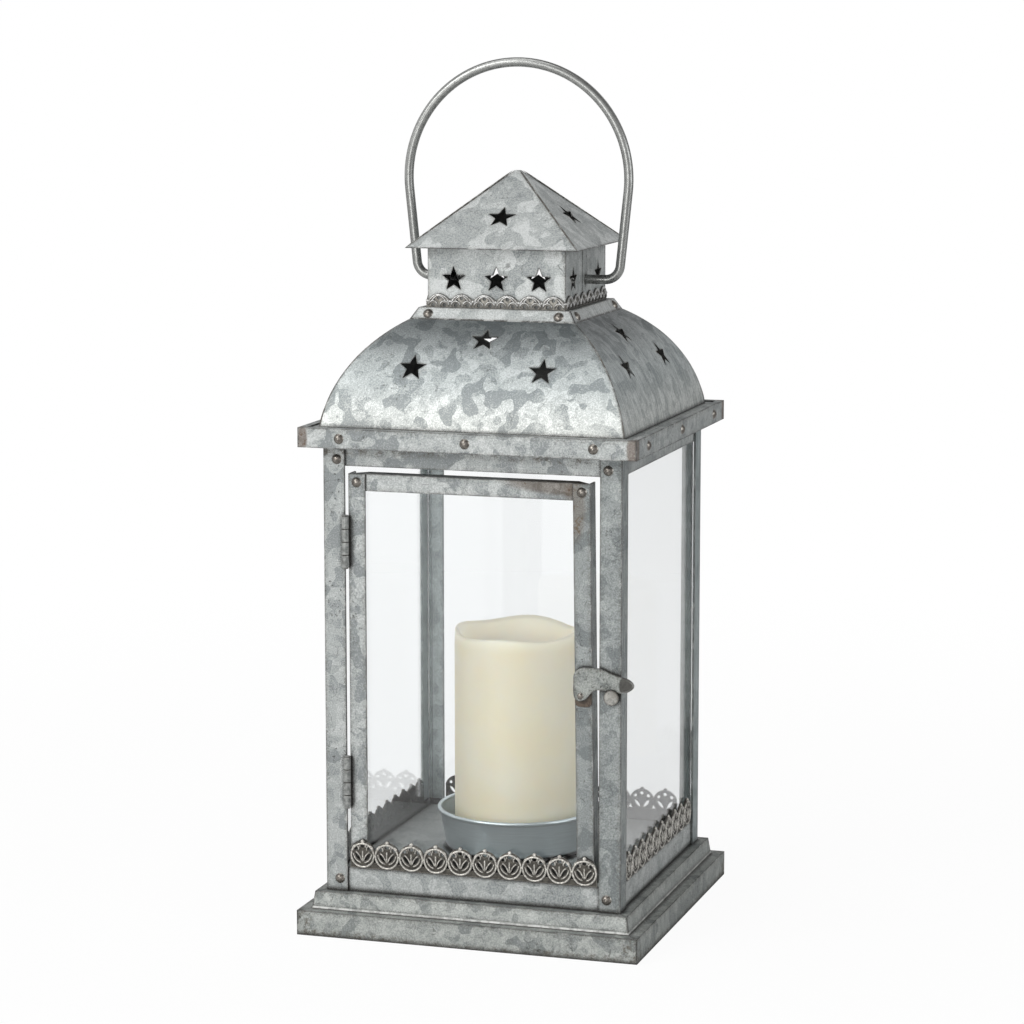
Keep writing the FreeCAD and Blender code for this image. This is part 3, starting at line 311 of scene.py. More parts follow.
def grime_effect():
    """Grime: fine dark specks inside broad clouds, thin wandering scratches, brown blooms and even dust."""
    tree, given, result, b = effect("settled_grime", [("Vector", VECTOR, None)],
                                    ["Specks", "Scratches", "Bloom", "Dust"])
    place = given["Vector"]
    cloud = b.between(b.noise(place, 24.0), 0.48, 0.66)
    specks = b.between(b.noise(place, 420.0, 4.0, 0.65), 0.57, 0.70)
    bent = b.vector("ADD", place, b.scaled(b.noise(place, 60.0, 2.0, output="Color"), 0.02))
    line = b.between(b.cells(bent, 150.0, "DISTANCE_TO_EDGE")["Distance"], 0.035, 0.008)
    b.feed(result, {
        "Specks": b.times(cloud, specks),
        "Scratches": b.times(line, b.between(b.noise(place, 85.0), 0.60, 0.70)),
        "Bloom": b.between(b.noise(place, 190.0, 5.0, 0.7), 0.40, 0.62),
        "Dust": b.between(b.noise(place, 560.0, 4.0, 0.7), 0.40, 0.58, 0.15, 1.0)})
    return tree


def shared_effects():
    """The node groups that several finishes place, made once."""
    makers = {"spangle": ("zinc_spangle", spangle_effect), "edge": ("edge_wear_and_shading", edge_effect),
              "grime": ("settled_grime", grime_effect)}
    return {key: bpy.data.node_groups.get(name) or make() for key, (name, make) in makers.items()}


def new_material(name):
    """A fresh material with its bench, its Principled shader and its Object coordinates."""
    material = bpy.data.materials.new(name)
    material.use_nodes = True
    shader = material.node_tree.nodes["Principled BSDF"]
    b = Bench(material.node_tree)
    place = b.node("ShaderNodeTexCoord").outputs["Object"]
    return material, b, shader, place


def settle(shader, values):
    """Plain values, each on the shader's own socket."""
    for socket, value in values.items():
        shader.inputs[socket].default_value = value


# A spot of rust or dirt, and on the lever's tip one of painted shade: its centre and radii, whether all four
# corners have it, its least cover and its colour
Rust = namedtuple("Rust", "centre radii mirrored least colour")


def spot(b, place, centre, radii, mirrored, solid):
    """A mask about a centre, solid up to a share of its radii; mirrored repeats it at all four corners."""
    if mirrored:
        flat = b.parts(b.vector("ABSOLUTE", place))
        place = b.node("ShaderNodeCombineXYZ", {0: flat[0], 1: flat[1], 2: b.parts(place)[2]}).outputs[0]
    away = b.vector("DIVIDE", b.vector("SUBTRACT", place, centre), radii)
    return b.between(b.measure("LENGTH", away), 1.0, solid)


STREAK_SCALES = (55.0, 800.0, 55.0)
GRAIN_DEPTH = 0.32
# Painted shade inside the roof, where little light reaches
INSIDE_SHADE = seen(30, 28, 26)
FOLD_BLUR = 0.1 * MM


def galvanised(name, offset, tones=(0.0, 1.0), grime=0.6, edge=0.45, smooth=0.0, tint=None, rust=(), shade=(),
               fold_highlight=None, inside=None, patches=1.0, streaks=2.2, corner_shade=0.95):
    """Zinc sheet. offset slides the pattern on these pieces, patches scales it, tones stretches it between
    two levels, smooth calms it and streaks runs it down the side faces. grime, edge and the corner weight are
    the weights of dirt, of rubbed edges with their painted highlight and of painted shade in corners. rust
    lists spots of rust or dirt, and on the lever one of painted shade. shade lists (height, red, green, blue)
    factors of painted light and shade that change slowly with height, the fold pair is (low, high) of a
    painted highlight along a fold, and inside is a point: faces that look at it are painted dark as shade."""
    finish = bpy.context.scene.lantern_sheet
    effects = shared_effects()
    material, b, shader, place = new_material(name)
    height = b.parts(place)[2]
    moved = b.stretched(place, UNSCALED, offset)
    normal = b.node("ShaderNodeNewGeometry").outputs["Normal"]
    sideways = b.between(b.parts(b.vector("ABSOLUTE", normal))[0], 0.45, 0.85)
    spangle = b.group(effects["spangle"], Vector=moved, Patches=patches * finish.patches)
    dirt = b.group(effects["grime"], Vector=moved)
    worn = b.group(effects["edge"], Vector=moved)
    calm = b.math("MULTIPLY_ADD", sideways, 0.40 * (1.0 - smooth), smooth)
    tone = b.level(calm, b.between(spangle["Tone"], 0.0, 1.0, *tones), 0.5 * sum(tones))
    streak = b.math("SUBTRACT", b.noise(b.stretched(moved, STREAK_SCALES), 1.0, 4.0, 0.6), 0.5)
    tone = b.math("MULTIPLY_ADD", b.times(streak, sideways), streaks, tone)
    grain = b.between(spangle["Grain"], 0.30, 0.70, -GRAIN_DEPTH, GRAIN_DEPTH)
    tone = b.math("ADD", tone, grain, clamp=True)
    colour = b.blend(b.between(tone, 0.0, 0.5), linear(finish.dark), linear(finish.middle))
    colour = b.blend(b.between(tone, 0.5, 1.0), colour, linear(finish.light))
    if tint:
        colour = b.blend(1.0, colour, linear(tint), "MULTIPLY")
    # Painted light and shade: colour factors that change with height
    if shade:
        factor = (*shade[0][1:], 1.0)
        for lower, upper in zip(shade, shade[1:]):
            factor = b.blend(b.between(height, lower[0], upper[0]), factor, (*upper[1:], 1.0))
        colour = b.blend(1.0, colour, factor, "MULTIPLY")
    for mask, weight in ((spangle["Outline"], 0.30), (dirt["Specks"], 1.0), (dirt["Scratches"], 0.6)):
        colour = b.cover(colour, mask, weight * grime, finish.grime)
    colour = b.cover(colour, worn["Near"], 0.55 * grime, finish.stain)
    for centre, radii, mirrored, least, brown in rust:
        blotches = b.math("MAXIMUM", b.times(dirt["Bloom"], dirt["Dust"]), least)
        bloom = b.times(spot(b, place, centre, radii, mirrored, max(0.55, least)), blotches, clamp=True)
        colour = b.cover(colour, bloom, 0.92, brown)
    # Rubbed wear and a painted highlight along edges
    colour = b.cover(colour, worn["Rub_and_highlight"], edge, finish.edge)
    # Painted shade: a dark line along edges and joints
    colour = b.cover(colour, worn["Line"], 0.92, finish.grime)
    # Painted shade: corners and junctions, where little light reaches, are darkened
    colour = b.cover(colour, worn["Corner_shade"], 0.75 if inside else corner_shade, finish.grime)
    # Painted highlight along a fold
    if fold_highlight:
        low, high = fold_highlight
        fold = b.times(b.between(height, low - FOLD_BLUR, low + FOLD_BLUR),
                       b.between(height, high + 3.0 * FOLD_BLUR, high - 3.0 * FOLD_BLUR))
        colour = b.cover(colour, fold, b.between(dirt["Bloom"], 0.0, 1.0, 0.9, 0.45), finish.edge)
    # Painted shade: faces that look at the point inside the roof are darkened
    if inside:
        outward = b.measure("DOT_PRODUCT", b.vector("SUBTRACT", place, inside), normal)
        colour = b.blend(b.between(outward, 0.0, -4.0 * MM, 0.0, 0.93), colour, linear(INSIDE_SHADE))
    relief = b.math("MULTIPLY_ADD", spangle["Tone"], 0.5, b.times(spangle["Grain"], 0.5))
    b.feed(shader.inputs, {"Base Color": colour, "Roughness": b.between(tone, 0.0, 1.0, 0.56, 0.42),
                           "Normal": b.bump(relief, 0.18, 0.4 * MM)})
    settle(shader, {"Metallic": 0.35})
    return material


# Colour of the painted dark line of shade along edges and joints
EDGE_SHADE_LINE = seen(64, 58, 52)


def dull_metal(name, colour, spread=0.30, edge_colour=None, rough=0.45, metallic=0.45, scale=260.0,
               width=0.9 * MM, spots=None, corner_shade=0.8, line=0.5, stretch=UNSCALED):
    """A plain dull metal or moulding: a colour with clouds that are darker and lighter by its spread and,
    where an edge colour is given, rubbed edges with a painted highlight over a width and a painted dark line
    of shade beside them, painted shade in corners and, where spots is given, brown spots. stretch draws the
    clouds out."""
    material, b, shader, place = new_material(name)
    cloud = b.noise(b.stretched(place, stretch), scale, 5.0, 0.6)
    darker, lighter = [(*(min(1.0, c * factor) for c in linear(colour)[:3]), 1.0)
                       for factor in (1.0 - spread, 1.0 + spread)]
    tint = b.blend(b.between(cloud, 0.32, 0.68), darker, lighter)
    if spots:
        tint = b.cover(tint, b.between(b.noise(place, 0.5 * scale, 5.0, 0.65), 0.50, 0.62), 0.7, spots)
    worn = b.group(shared_effects()["edge"], Vector=place, Width=width, Break=0.34)
    if edge_colour:
        # Rubbed wear and a painted highlight along edges
        tint = b.cover(tint, worn["Rub_and_highlight"], 0.7, edge_colour)
        # Painted shade: a dark line along edges and joints, as heavy as line says
        tint = b.cover(tint, worn["Line"], line, EDGE_SHADE_LINE)
    # Painted shade: corners and junctions are darkened
    if corner_shade:
        tint = b.cover(tint, worn["Corner_shade"], corner_shade, bpy.context.scene.lantern_sheet.grime)
    b.feed(shader.inputs, {"Base Color": tint, "Normal": b.bump(cloud, 0.25, 0.2 * MM),
                           "Roughness": b.between(cloud, 0.0, 1.0, rough + 0.1, rough - 0.1)})
    settle(shader, {"Metallic": metallic})
    return material


def dress(names, material):
    """Gives CAD nodes a material in their own slots."""
    for name in names:
        node = NODES[name]
        if not node.material_slots:
            raise RuntimeError(name + " has no material slot")
        for slot in node.material_slots:
            slot.material = material


# Meshes from numpy grids

def grid_faces(rows, columns, wrap_rows=False, wrap_columns=False):
    """Quads over a grid of rows by columns, joined round where it wraps."""
    row = np.arange(rows if wrap_rows else rows - 1)[:, None]
    column = np.arange(columns if wrap_columns else columns - 1)[None, :]
    next_row = (row + 1) % rows
    next_column = (column + 1) % columns
    corners = (row * columns + column, row * columns + next_column,
               next_row * columns + next_column, next_row * columns + column)
    return np.stack([np.broadcast_to(c, (row.size, column.size)) for c in corners], axis=-1).reshape(-1, 4)


# Points nearer than the first are one, and faces narrower than the second go, both in metres
MERGED_WITHIN = 1e-7
THINNEST_FACE = 1e-8


def merged_mesh(name, points, faces, closed=True):
    """A mesh with its doubles merged and its faces without area gone. Closed ones get their faces turned
    outwards."""
    mesh = bpy.data.meshes.new(name)
    mesh.from_pydata(points.tolist(), [], faces.tolist())
    work = bmesh.new()
    work.from_mesh(mesh)
    bmesh.ops.remove_doubles(work, verts=work.verts, dist=MERGED_WITHIN)
    bmesh.ops.dissolve_degenerate(work, edges=work.edges, dist=THINNEST_FACE)
    if closed:
        bmesh.ops.recalc_face_normals(work, faces=work.faces)
    work.to_mesh(mesh)
    work.free()
    mesh.validate()
    return mesh


def repeated(faces, count, size):
    """One grid's faces for each of several grids, whose points follow each other in runs of one size."""
    starts = np.arange(count) * size
    return (starts[:, None, None] + faces[None]).reshape(-1, 4)


def new_piece(name, patches, material, body, stands_for=()):
    """One smooth object from (points, faces) patches and the body that carries it."""
    points, faces, start = [], [], 0
    for patch_points, patch_faces in patches:
        flat = patch_points.reshape(-1, 3)
        points.append(flat)
        faces.append(patch_faces + start)
        start += len(flat)
    mesh = merged_mesh(name, np.concatenate(points), np.concatenate(faces))
    mesh.polygons.foreach_set("use_smooth", np.ones(len(mesh.polygons), bool))
    mesh.materials.append(material)
    piece = bpy.data.objects.new(name, mesh)
    bpy.context.scene.collection.objects.link(piece)
    if stands_for:
        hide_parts(*stands_for)
    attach(piece, body)
    return piece


# Share of an open tube's length over which each end shrinks
END_SHARE = 0.125


def flat_tubes(paths, wide, proud, out, sides=8, closed=False):
    """Tubes along paths that lie in planes square to out. Each ring is the path's point plus a flattened
    circle: wide across the path in its plane, proud along out. Open ends shrink to a point, as a quarter of
    an ellipse."""
    paths = np.asarray(paths, float)
    count, steps, _ = paths.shape
    out = np.asarray(out, float)
    if closed:
        run = np.roll(paths, -1, axis=1) - np.roll(paths, 1, axis=1)
    else:
        run = np.gradient(paths, axis=1)
    run /= np.linalg.norm(run, axis=2, keepdims=True)
    across = np.cross(run, out)
    angle = np.linspace(0.0, 2.0 * math.pi, sides, endpoint=False)
    size = np.ones(steps)
    if not closed:
        along = np.linspace(0.0, 1.0, steps)
        short_of = (1.0 - np.minimum(along, 1.0 - along) / END_SHARE).clip(0.0)
        size = np.sqrt(np.clip(1.0 - short_of ** 2, 0.0, 1.0))
    wide = np.broadcast_to(np.asarray(wide, float), (count,))[:, None, None, None]
    proud = np.broadcast_to(np.asarray(proud, float), (count,))[:, None, None, None]
    ring = (np.cos(angle)[None, None, :, None] * across[:, :, None, :] * wide
            + np.sin(angle)[None, None, :, None] * out[None, None, None, :] * proud)
    points = paths[:, :, None, :] + ring * size[None, :, None, None]
    faces = grid_faces(steps, sides, wrap_rows=closed, wrap_columns=True)
    return points, repeated(faces, count, steps * sides)


def beads(centres, radius, out, proud, rings=6, sides=10):
    """Flattened balls: latitude and longitude circles about each centre, proud along out."""
    centres = np.asarray(centres, float)
    out = np.asarray(out, float)
    up = np.array([0.0, 0.0, 1.0])
    side = np.cross(up, out)
    latitude = np.linspace(0.0, math.pi, rings)[:, None, None]
    longitude = np.linspace(0.0, 2.0 * math.pi, sides, endpoint=False)[None, :, None]
    ball = (np.sin(latitude) * np.cos(longitude) * side * radius
            + np.sin(latitude) * np.sin(longitude) * up * radius
            + np.cos(latitude) * out * proud)
    points = centres[:, None, None, :] + ball[None]
    return points, repeated(grid_faces(rings, sides, wrap_columns=True), len(centres), rings * sides)


def turned(points, quarter):
    """Points turned about the upright axis by quarter turns, front to right to back to left."""
    angle = quarter * QUARTER
    turn = np.array([[math.cos(angle), -math.sin(angle), 0.0],
                     [math.sin(angle), math.cos(angle), 0.0], [0.0, 0.0, 1.0]])
    return points @ turn.T


# Lace

def on_strip(x, z, face):
    """Points on the face of a strip drawn as the front, from places along it and heights."""
    x, z = np.broadcast_arrays(x, z)
    return np.stack([x, np.full(x.shape, face), z], axis=-1)


def arc_paths(centres_x, centre_z, radius, start, end, steps, face):
    """Arcs of a circle in the strip's plane, from start to end, angles from the top, clockwise."""
    angle = np.linspace(start, end, steps)
    return on_strip(centres_x[:, None] + radius * np.sin(angle), centre_z + radius * np.cos(angle), face)


def curve_paths(centres_x, centre_z, radius, controls, steps, face):
    """Quadratic curves through shares of the ring's radius, about each ring's centre."""
    (x0, z0), (x1, z1), (x2, z2) = controls
    t = np.linspace(0.0, 1.0, steps)
    across = (1 - t) ** 2 * x0 + 2 * t * (1 - t) * x1 + t ** 2 * x2
    rise = (1 - t) ** 2 * z0 + 2 * t * (1 - t) * z1 + t ** 2 * z2
    return on_strip(centres_x[:, None] + radius * across, centre_z + radius * rise, face)


def row_of_beads(x, z, face, radius, proud, **fineness):
    """Beads at one height on a strip's face."""
    return beads(on_strip(x, z, face), radius, FORWARD, proud, **fineness)


# Shares of the ring's radius, from its centre: scallops over the holes, the leaf's veins, and how far down
# the bright ring sits
SCALLOPS = ((0.0, 0.66), (-0.54, 0.45), (0.54, 0.45))
SCALLOP_RADIUS = 0.235
SIDE_VEINS = (((0.10, -0.62), (0.62, -0.52), (0.74, 0.12)), ((0.06, -0.50), (0.20, 0.02), (0.56, 0.22)))
MIDDLE_VEIN = ((0.0, -0.55), (0.0, -0.1), (0.0, 0.36))
RING_DROP = 0.05

# How far a scallop reaches to either side of its top, and the points of a ring
SCALLOP_TURN = 0.72 * math.pi
RING_STEPS = 48


def medallion_relief(low, high, count, shape):
    """Relief of one strip between two corners, drawn as the front: round rings, scallops over the holes,
    leaf veins, and beads on top of the rings and where they touch."""
    radius, bead, proud = shape.ring_radius, shape.bead_radius, shape.proud
    vein, rope = shape.vein_radius, shape.rope_radius
    pitch = (high.x - low.x) / count
    centre_z = high.z - bead - radius
    centres = low.x + (np.arange(count) + 0.5) * pitch
    joints = low.x + np.arange(1, count) * pitch
    face = low.y

    def rib(paths, wide=vein, share=0.8):
        return flat_tubes(paths, wide, share * proud, FORWARD, sides=6)

    ring = arc_paths(centres, centre_z - RING_DROP * radius, 0.97 * (radius - rope), 0.0,
                     2.0 * math.pi * (RING_STEPS - 1) / RING_STEPS, RING_STEPS, face)
    patches = [flat_tubes(ring, rope, proud, FORWARD, closed=True)]
    for across, rise in SCALLOPS:
        patches.append(rib(arc_paths(centres + across * radius, centre_z + rise * radius,
                                     SCALLOP_RADIUS * radius, -SCALLOP_TURN, SCALLOP_TURN, 15, face)))
    for side in (-1.0, 1.0):
        for controls in SIDE_VEINS:
            mirrored = [(side * x, z) for x, z in controls]
            patches.append(rib(curve_paths(centres, centre_z, radius, mirrored, 15, face)))
    patches.append(rib(curve_paths(centres, centre_z, radius, MIDDLE_VEIN, 11, face), 1.2 * vein, 0.75))
    patches.append(row_of_beads(centres, centre_z + radius, face, 1.15 * bead, 1.1 * proud))
    patches.append(row_of_beads(joints, centre_z - 0.02 * radius, face, 0.9 * bead, 0.9 * proud))
    return patches


def arch_relief(low, high, count, shape):
    """Relief of the small lace at the chimney's foot: large arches over pairs of small ones, and beads."""
    pitch = (high.x - low.x) / count
    height = high.z - low.z
    centres = low.x + (np.arange(count) + 0.5) * pitch
    face = low.y
    vein, proud, bead = 0.9 * shape.vein_radius, 0.7 * shape.proud, 0.8 * shape.bead_radius
    small = {"rings": 5, "sides": 8}

    def arch(x, rise, radius, half_turn, steps, share=1.0):
        paths = arc_paths(x, low.z + rise * height, radius * pitch, -half_turn * math.pi, half_turn * math.pi,
                          steps, face)
        return flat_tubes(paths, vein, share * proud, FORWARD, sides=6)

    patches = [arch(centres, 0.12, 0.46, 0.5, 17), arch(centres, 0.34, 0.29, 0.5, 17)]
    for sign in (-1.0, 1.0):
        patches.append(arch(centres + sign * 0.25 * pitch, 0.14, 0.19, 0.55, 13, 1.2))
        feet = centres + sign * 0.49 * pitch
        patches.append(row_of_beads(feet, low.z + 0.45 * height, face, bead, proud, **small))
    patches.append(row_of_beads(centres, high.z - bead, face, bead, proud, **small))
    return patches


def as_front(node, quarter):
    """A side node's box, turned back to the front."""
    low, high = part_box(node)
    corners = turned(np.array([list(low), list(high)]), -quarter)
    return Vector(corners.min(0)), Vector(corners.max(0))


def facing(strip, quarter):
    """A strip's patches, turned from the front to another side."""
    return [(turned(points, quarter), faces) for points, faces in strip]


class LANTERN_OT_lace(bpy.types.Operator):
    """Casts the relief of the lace strips and gives them their antique pewter"""
    bl_idname = "lantern.lace"
    bl_label = "Cast the lace"
    bl_options = {"REGISTER", "UNDO"}

    def execute(self, context):
        shape = context.scene.lantern_lace
        finish = context.scene.lantern_fittings
        plate = dull_metal("pewter_plate", finish.pewter_dark, 0.45, finish.pewter, 0.5, 0.4, 420.0, 0.5 * MM)
        relief = dull_metal("pewter_relief", finish.pewter, 0.55, None, 0.34, 0.5, 1500.0,
                            spots=seen(104, 99, 91), corner_shade=0.5)
        bright = dull_metal("pewter_bright", seen(226, 224, 218), 0.5, None, 0.32, 0.5, 1500.0,
                            spots=seen(112, 108, 100), corner_shade=0.45)
        dress(["door_lace", "lace_right", "lace_back", "lace_left"], plate)
        dress(["chimney_lace"],
              dull_metal("pewter_plate_light", seen(150, 147, 140), 0.55, finish.pewter, 0.4, 0.45, 700.0,
                         0.5 * MM, finish.pewter_dark, 0.6))
        low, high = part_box("door_lace")
        strip = medallion_relief(low, high, shape.medallions, shape)
        new_piece("door_lace_relief", strip, relief, "door")
        for quarter, side in enumerate(SIDES[1:], start=1):
            low, high = as_front("lace_" + side, quarter)
            strip = medallion_relief(low, high, shape.medallions, shape)
            new_piece("lace_relief_" + side, facing(strip, quarter), relief, "frame")
        low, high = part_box("chimney_lace")
        high.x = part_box("chimney_front")[1].x
        low.x = -high.x
        strip = arch_relief(low, high, shape.arches, shape)
        patches = sum((facing(strip, quarter) for quarter in range(4)), [])
        new_piece("chimney_lace_relief", patches, bright, "frame")
        return {"FINISHED"}


# Sheet metal

def sided(kind):
    """The nodes of one kind on all four sides."""
    return [kind + "_" + side for side in SIDES]


class LANTERN_OT_sheet(bpy.types.Operator):
    """Gives every sheet piece its spangled zinc"""
    bl_idname = "lantern.sheet"
    bl_label = "Galvanise the sheet"
    bl_options = {"REGISTER", "UNDO"}

    def execute(self, context):
        finish = context.scene.lantern_sheet
        eave_low, eave_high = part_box("eave_bands")
        base_low, base_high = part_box("base_skirt_front")
        rail_low, rail_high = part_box("door_rail_top")
        stile_low, stile_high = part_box("door_stile_latch")
        dome_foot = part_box("dome_front")[0].z
        dome_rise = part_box("collar_strips")[0].z - dome_foot
        dome_middle = (0.0, 0.0, dome_foot)
        # Painted light and shade on the dome: much lighter at its foot, far darker near its top
        dome_shade = ((dome_foot, 1.42, 1.40, 1.37), (dome_foot + 0.50 * dome_rise, 1.0, 1.03, 1.04),
                      (dome_foot + 0.95 * dome_rise, 0.36, 0.38, 0.39))

        def stain(corner, height, reach, rise):
            """Brown dirt at the corners of a square, or right along its sides where the reach is long."""
            return Rust((corner, corner, height), (reach, reach, rise), mirrored=True, least=0.0,
                        colour=finish.stain)

        foot = stain(base_high.x, base_low.z + 6.0 * MM, 12.0 * MM, 16.0 * MM)
        hem = stain(base_high.x, base_low.z, 150.0 * MM, 5.5 * MM)
        under_eave = stain(eave_high.x, eave_low.z, 150.0 * MM, 7.5 * MM)
        under_cap = stain(eave_high.x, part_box("roof_cap")[0].z, 110.0 * MM, 9.5 * MM)
        corner = Rust((eave_high.x, eave_high.y, 0.5 * (eave_low.z + eave_high.z)),
                      (6.8 * MM, 6.8 * MM, 14.0 * MM), mirrored=True, least=0.72, colour=finish.corner_rust)
        stile_top = Rust((stile_low.x + 2.0 * MM, stile_low.y, stile_high.z - 15.0 * MM),
                         (7.0 * MM, 10.0 * MM, 22.0 * MM), mirrored=False, least=0.45,
                         colour=finish.stile_rust)
        rail_top = Rust((rail_high.x - 8.0 * MM, rail_low.y, rail_high.z),
                        (50.0 * MM, 10.0 * MM, 8.8 * MM), mirrored=False, least=0.66, colour=finish.rail_rust)
        rail_end = Rust((rail_high.x - 4.0 * MM, rail_low.y, rail_high.z - 5.0 * MM),
                        (13.0 * MM, 10.0 * MM, 12.0 * MM), mirrored=False, least=0.5, colour=finish.end_rust)
        # Heights of the painted highlight along the plinth's step fold
        step_fold = (base_high.z - 10.0 * MM, base_high.z - 8.8 * MM)
        # Painted shade: a darker tint for pieces on the right, where less light falls
        right_shade_tint = seen(222, 224, 224)
        # Weight of the painted corner shade on the back posts, seen through the glass
        behind_glass = 0.2
        for name, nodes, offset, options in (
                ("plinth", sided("base_skirt"), (0.31, 0.12, 0.05),
                 dict(grime=0.9, streaks=1.2, tint=seen(240, 240, 237), fold_highlight=step_fold,
                      rust=(foot, hem))),
                ("post_left", ["post_front_left"], (0.72, 0.33, 0.21),
                 dict(tones=(0.0, 0.92), grime=0.9, rust=(under_eave,))),
                ("post_right", ["post_front_right"], (0.13, 0.64, 0.88),
                 dict(tones=(0.0, 0.8), grime=0.9, tint=right_shade_tint)),
                # Its tint is painted shade, and also makes it bluer
                ("post_back_right", ["post_back_right"], (0.47, 0.36, 0.61),
                 dict(tones=(0.3, 0.95), tint=seen(214, 222, 224), corner_shade=behind_glass)),
                ("post_back_left", ["post_back_left"], (0.28, 0.91, 0.16),
                 dict(tones=(0.3, 1.0), shade=((0.0, 0.92, 1.0, 1.02),), corner_shade=behind_glass)),
                ("rails_low", sided("bottom_rail"), (0.11, 0.83, 0.47),
                 dict(tones=(0.3, 1.0), grime=0.7, streaks=1.2)),
                ("rails_high", sided("top_rail"), (0.64, 0.28, 0.71),
                 dict(tones=(0.0, 0.88), grime=0.8, streaks=1.2, rust=(under_eave,))),
                ("stile_hinge", ["door_stile_hinge"], (0.58, 0.52, 0.07), dict(tones=(0.0, 0.95), grime=0.9)),
                ("stile_latch", ["door_stile_latch"], (0.93, 0.15, 0.66),
                 dict(tones=(0.0, 0.8), grime=1.0, tint=right_shade_tint, rust=(stile_top,))),
                ("door_rails", ["door_rail_top", "door_rail_bottom"], (0.44, 0.57, 0.91),
                 dict(grime=0.8, rust=(rail_top, rail_end))),
                ("floor", ["floor_pan"], (0.05, 0.41, 0.28), dict(tones=(0.1, 0.56), grime=0.3, smooth=0.5)),
                ("tray", ["eave_tray"], (0.66, 0.07, 0.39), dict(streaks=1.2, rust=(corner,))),
                ("bands", ["eave_bands"], (0.21, 0.95, 0.74),
                 dict(tones=(0.0, 0.92), grime=0.8, streaks=1.2, rust=(corner,))),
                ("dome", sided("dome"), (0.52, 0.26, 0.13),
                 dict(inside=dome_middle, patches=1.25, shade=dome_shade)),
                ("chimney", ["chimney_front", "chimney_back"], (0.87, 0.61, 0.35),
                 dict(tones=(0.96, 0.05), grime=0.9, inside=dome_middle, rust=(under_cap,))),
                ("cap", ["roof_cap"], (0.15, 0.78, 0.59), dict(tones=(0.95, 0.12), inside=dome_middle)),
                ("collar", ["collar_strips"], (0.38, 0.49, 0.81), dict(tones=(0.45, 1.0), grime=0.4)),
                ("tabs", ["glass_tabs", "door_glass_tabs"], (0.6, 0.6, 0.1), dict(smooth=0.4))):
            dress(nodes, galvanised("zinc_" + name, offset, **options))
        dress(["candle_cup"],
              dull_metal("cup_steel", seen(190, 200, 203), 0.05, seen(232, 235, 234), 0.34, 0.75, 60.0,
                         1.2 * MM, corner_shade=0.9, line=0.2, stretch=(1.0, 1.0, 22.0)))
        return {"FINISHED"}


SAME_POINT = 2e-5


def dome_hip():
    """Reach and height along a hip of the dome: its mesh's corner line, smoothed by a fourth-degree curve."""
    co = np.array([v.co for v in NODES["dome_front"].data.vertices])
    hip = co[(np.abs(np.abs(co[:, 0]) - np.abs(co[:, 1])) < SAME_POINT) & (co[:, 0] > 0)]
    levels = np.unique(np.round(hip[:, 2], 5))
    edge = np.array([[z, hip[np.abs(hip[:, 2] - z) < SAME_POINT][:, 0].max()] for z in levels])
    edge = edge[edge[:, 0] <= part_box("collar_strips")[0].z + 0.5 * MM]
    foot = edge[0, 0]
    z = np.linspace(foot, edge[-1, 0], 40)
    return np.polyval(np.polyfit(edge[:, 0] - foot, edge[:, 1], 4), z - foot), z


def cap_hip():
    """Reach and height along a hip of the cap: a straight line from its corner nearly to the peak."""
    low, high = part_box("roof_cap")
    peak = 2.2 * MM
    share = np.linspace(0.0, 1.0, 24)
    return high.x + (peak - high.x) * share, low.z + (high.z - low.z) * share


class LANTERN_OT_seams(bpy.types.Operator):
    """Runs the thin soldered seams down the dome's and the cap's hips"""
    bl_idname = "lantern.seams"
    bl_label = "Solder the hip seams"
    bl_options = {"REGISTER", "UNDO"}

    def execute(self, context):
        solder = dull_metal("seam_line", seen(92, 88, 82), 0.4, None, 0.5, 0.2, 300.0,
                            spots=seen(170, 172, 170), corner_shade=0.0)
        patches = []
        for (reach, height), radius in ((dome_hip(), 0.45 * MM), (cap_hip(), 0.40 * MM)):
            for quarter in range(4):
                path = turned(np.stack([reach, -reach, height], axis=-1), quarter)[None]
                across = turned(np.array([[1.0, 1.0, 0.0]]) / math.sqrt(2.0), quarter)[0]
                patches.append(flat_tubes(path, radius, radius, across))
        new_piece("hip_seams", patches, solder, "frame")
        return {"FINISHED"}


class LANTERN_OT_fittings(bpy.types.Operator):
    """Gives rivets, hinges, latch and bail their metals"""
    bl_idname = "lantern.fittings"
    bl_label = "Finish the fittings"
    bl_options = {"REGISTER", "UNDO"}

    def execute(self, context):
        finish = context.scene.lantern_fittings
        dress(["frame_rivets", "door_rivets", "latch_rivet"],
              dull_metal("rivet_steel", finish.rivet, 0.40, seen(196, 192, 184), 0.26, 0.8, 520.0, 0.7 * MM,
                         corner_shade=1.0, line=0.0))
        dress(["latch_keeper"],
              dull_metal("keeper_steel", seen(156, 155, 150), 0.4, seen(84, 76, 68), 0.4, 0.45, 480.0,
                         1.3 * MM, seen(112, 108, 100)))
        dress(["hinge_frame_leaves", "hinge_door_leaves", "hinge_pins"],
              dull_metal("hinge_steel", finish.hinge, 0.35, seen(186, 186, 182), 0.40, 0.45, 420.0))
        dress(["bail"], dull_metal("bail_wire", finish.wire, 0.14, None, 0.26, 0.75, 380.0, corner_shade=0.0))
        dress(["latch_backplate"],
              dull_metal("latch_plate_dark_brown", finish.plate_dark_brown, 0.45, seen(120, 110, 98), 0.6, 0.2, 420.0))
        # Painted shade: the lever's tip is darkened
        low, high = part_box("latch_lever")
        tip = Rust((high.x, low.y, low.z + 0.52 * (high.z - low.z)), (9.2 * MM, 10.0 * MM, 9.2 * MM),
                   mirrored=False, least=0.9, colour=finish.lever_tip_shade)
        dress(["latch_lever"], galvanised("zinc_lever", (0.35, 0.72, 0.18), (0.0, 0.8), 1.3, 0.6,
                                          tint=seen(226, 226, 222), rust=(tip,)))
        return {"FINISHED"}


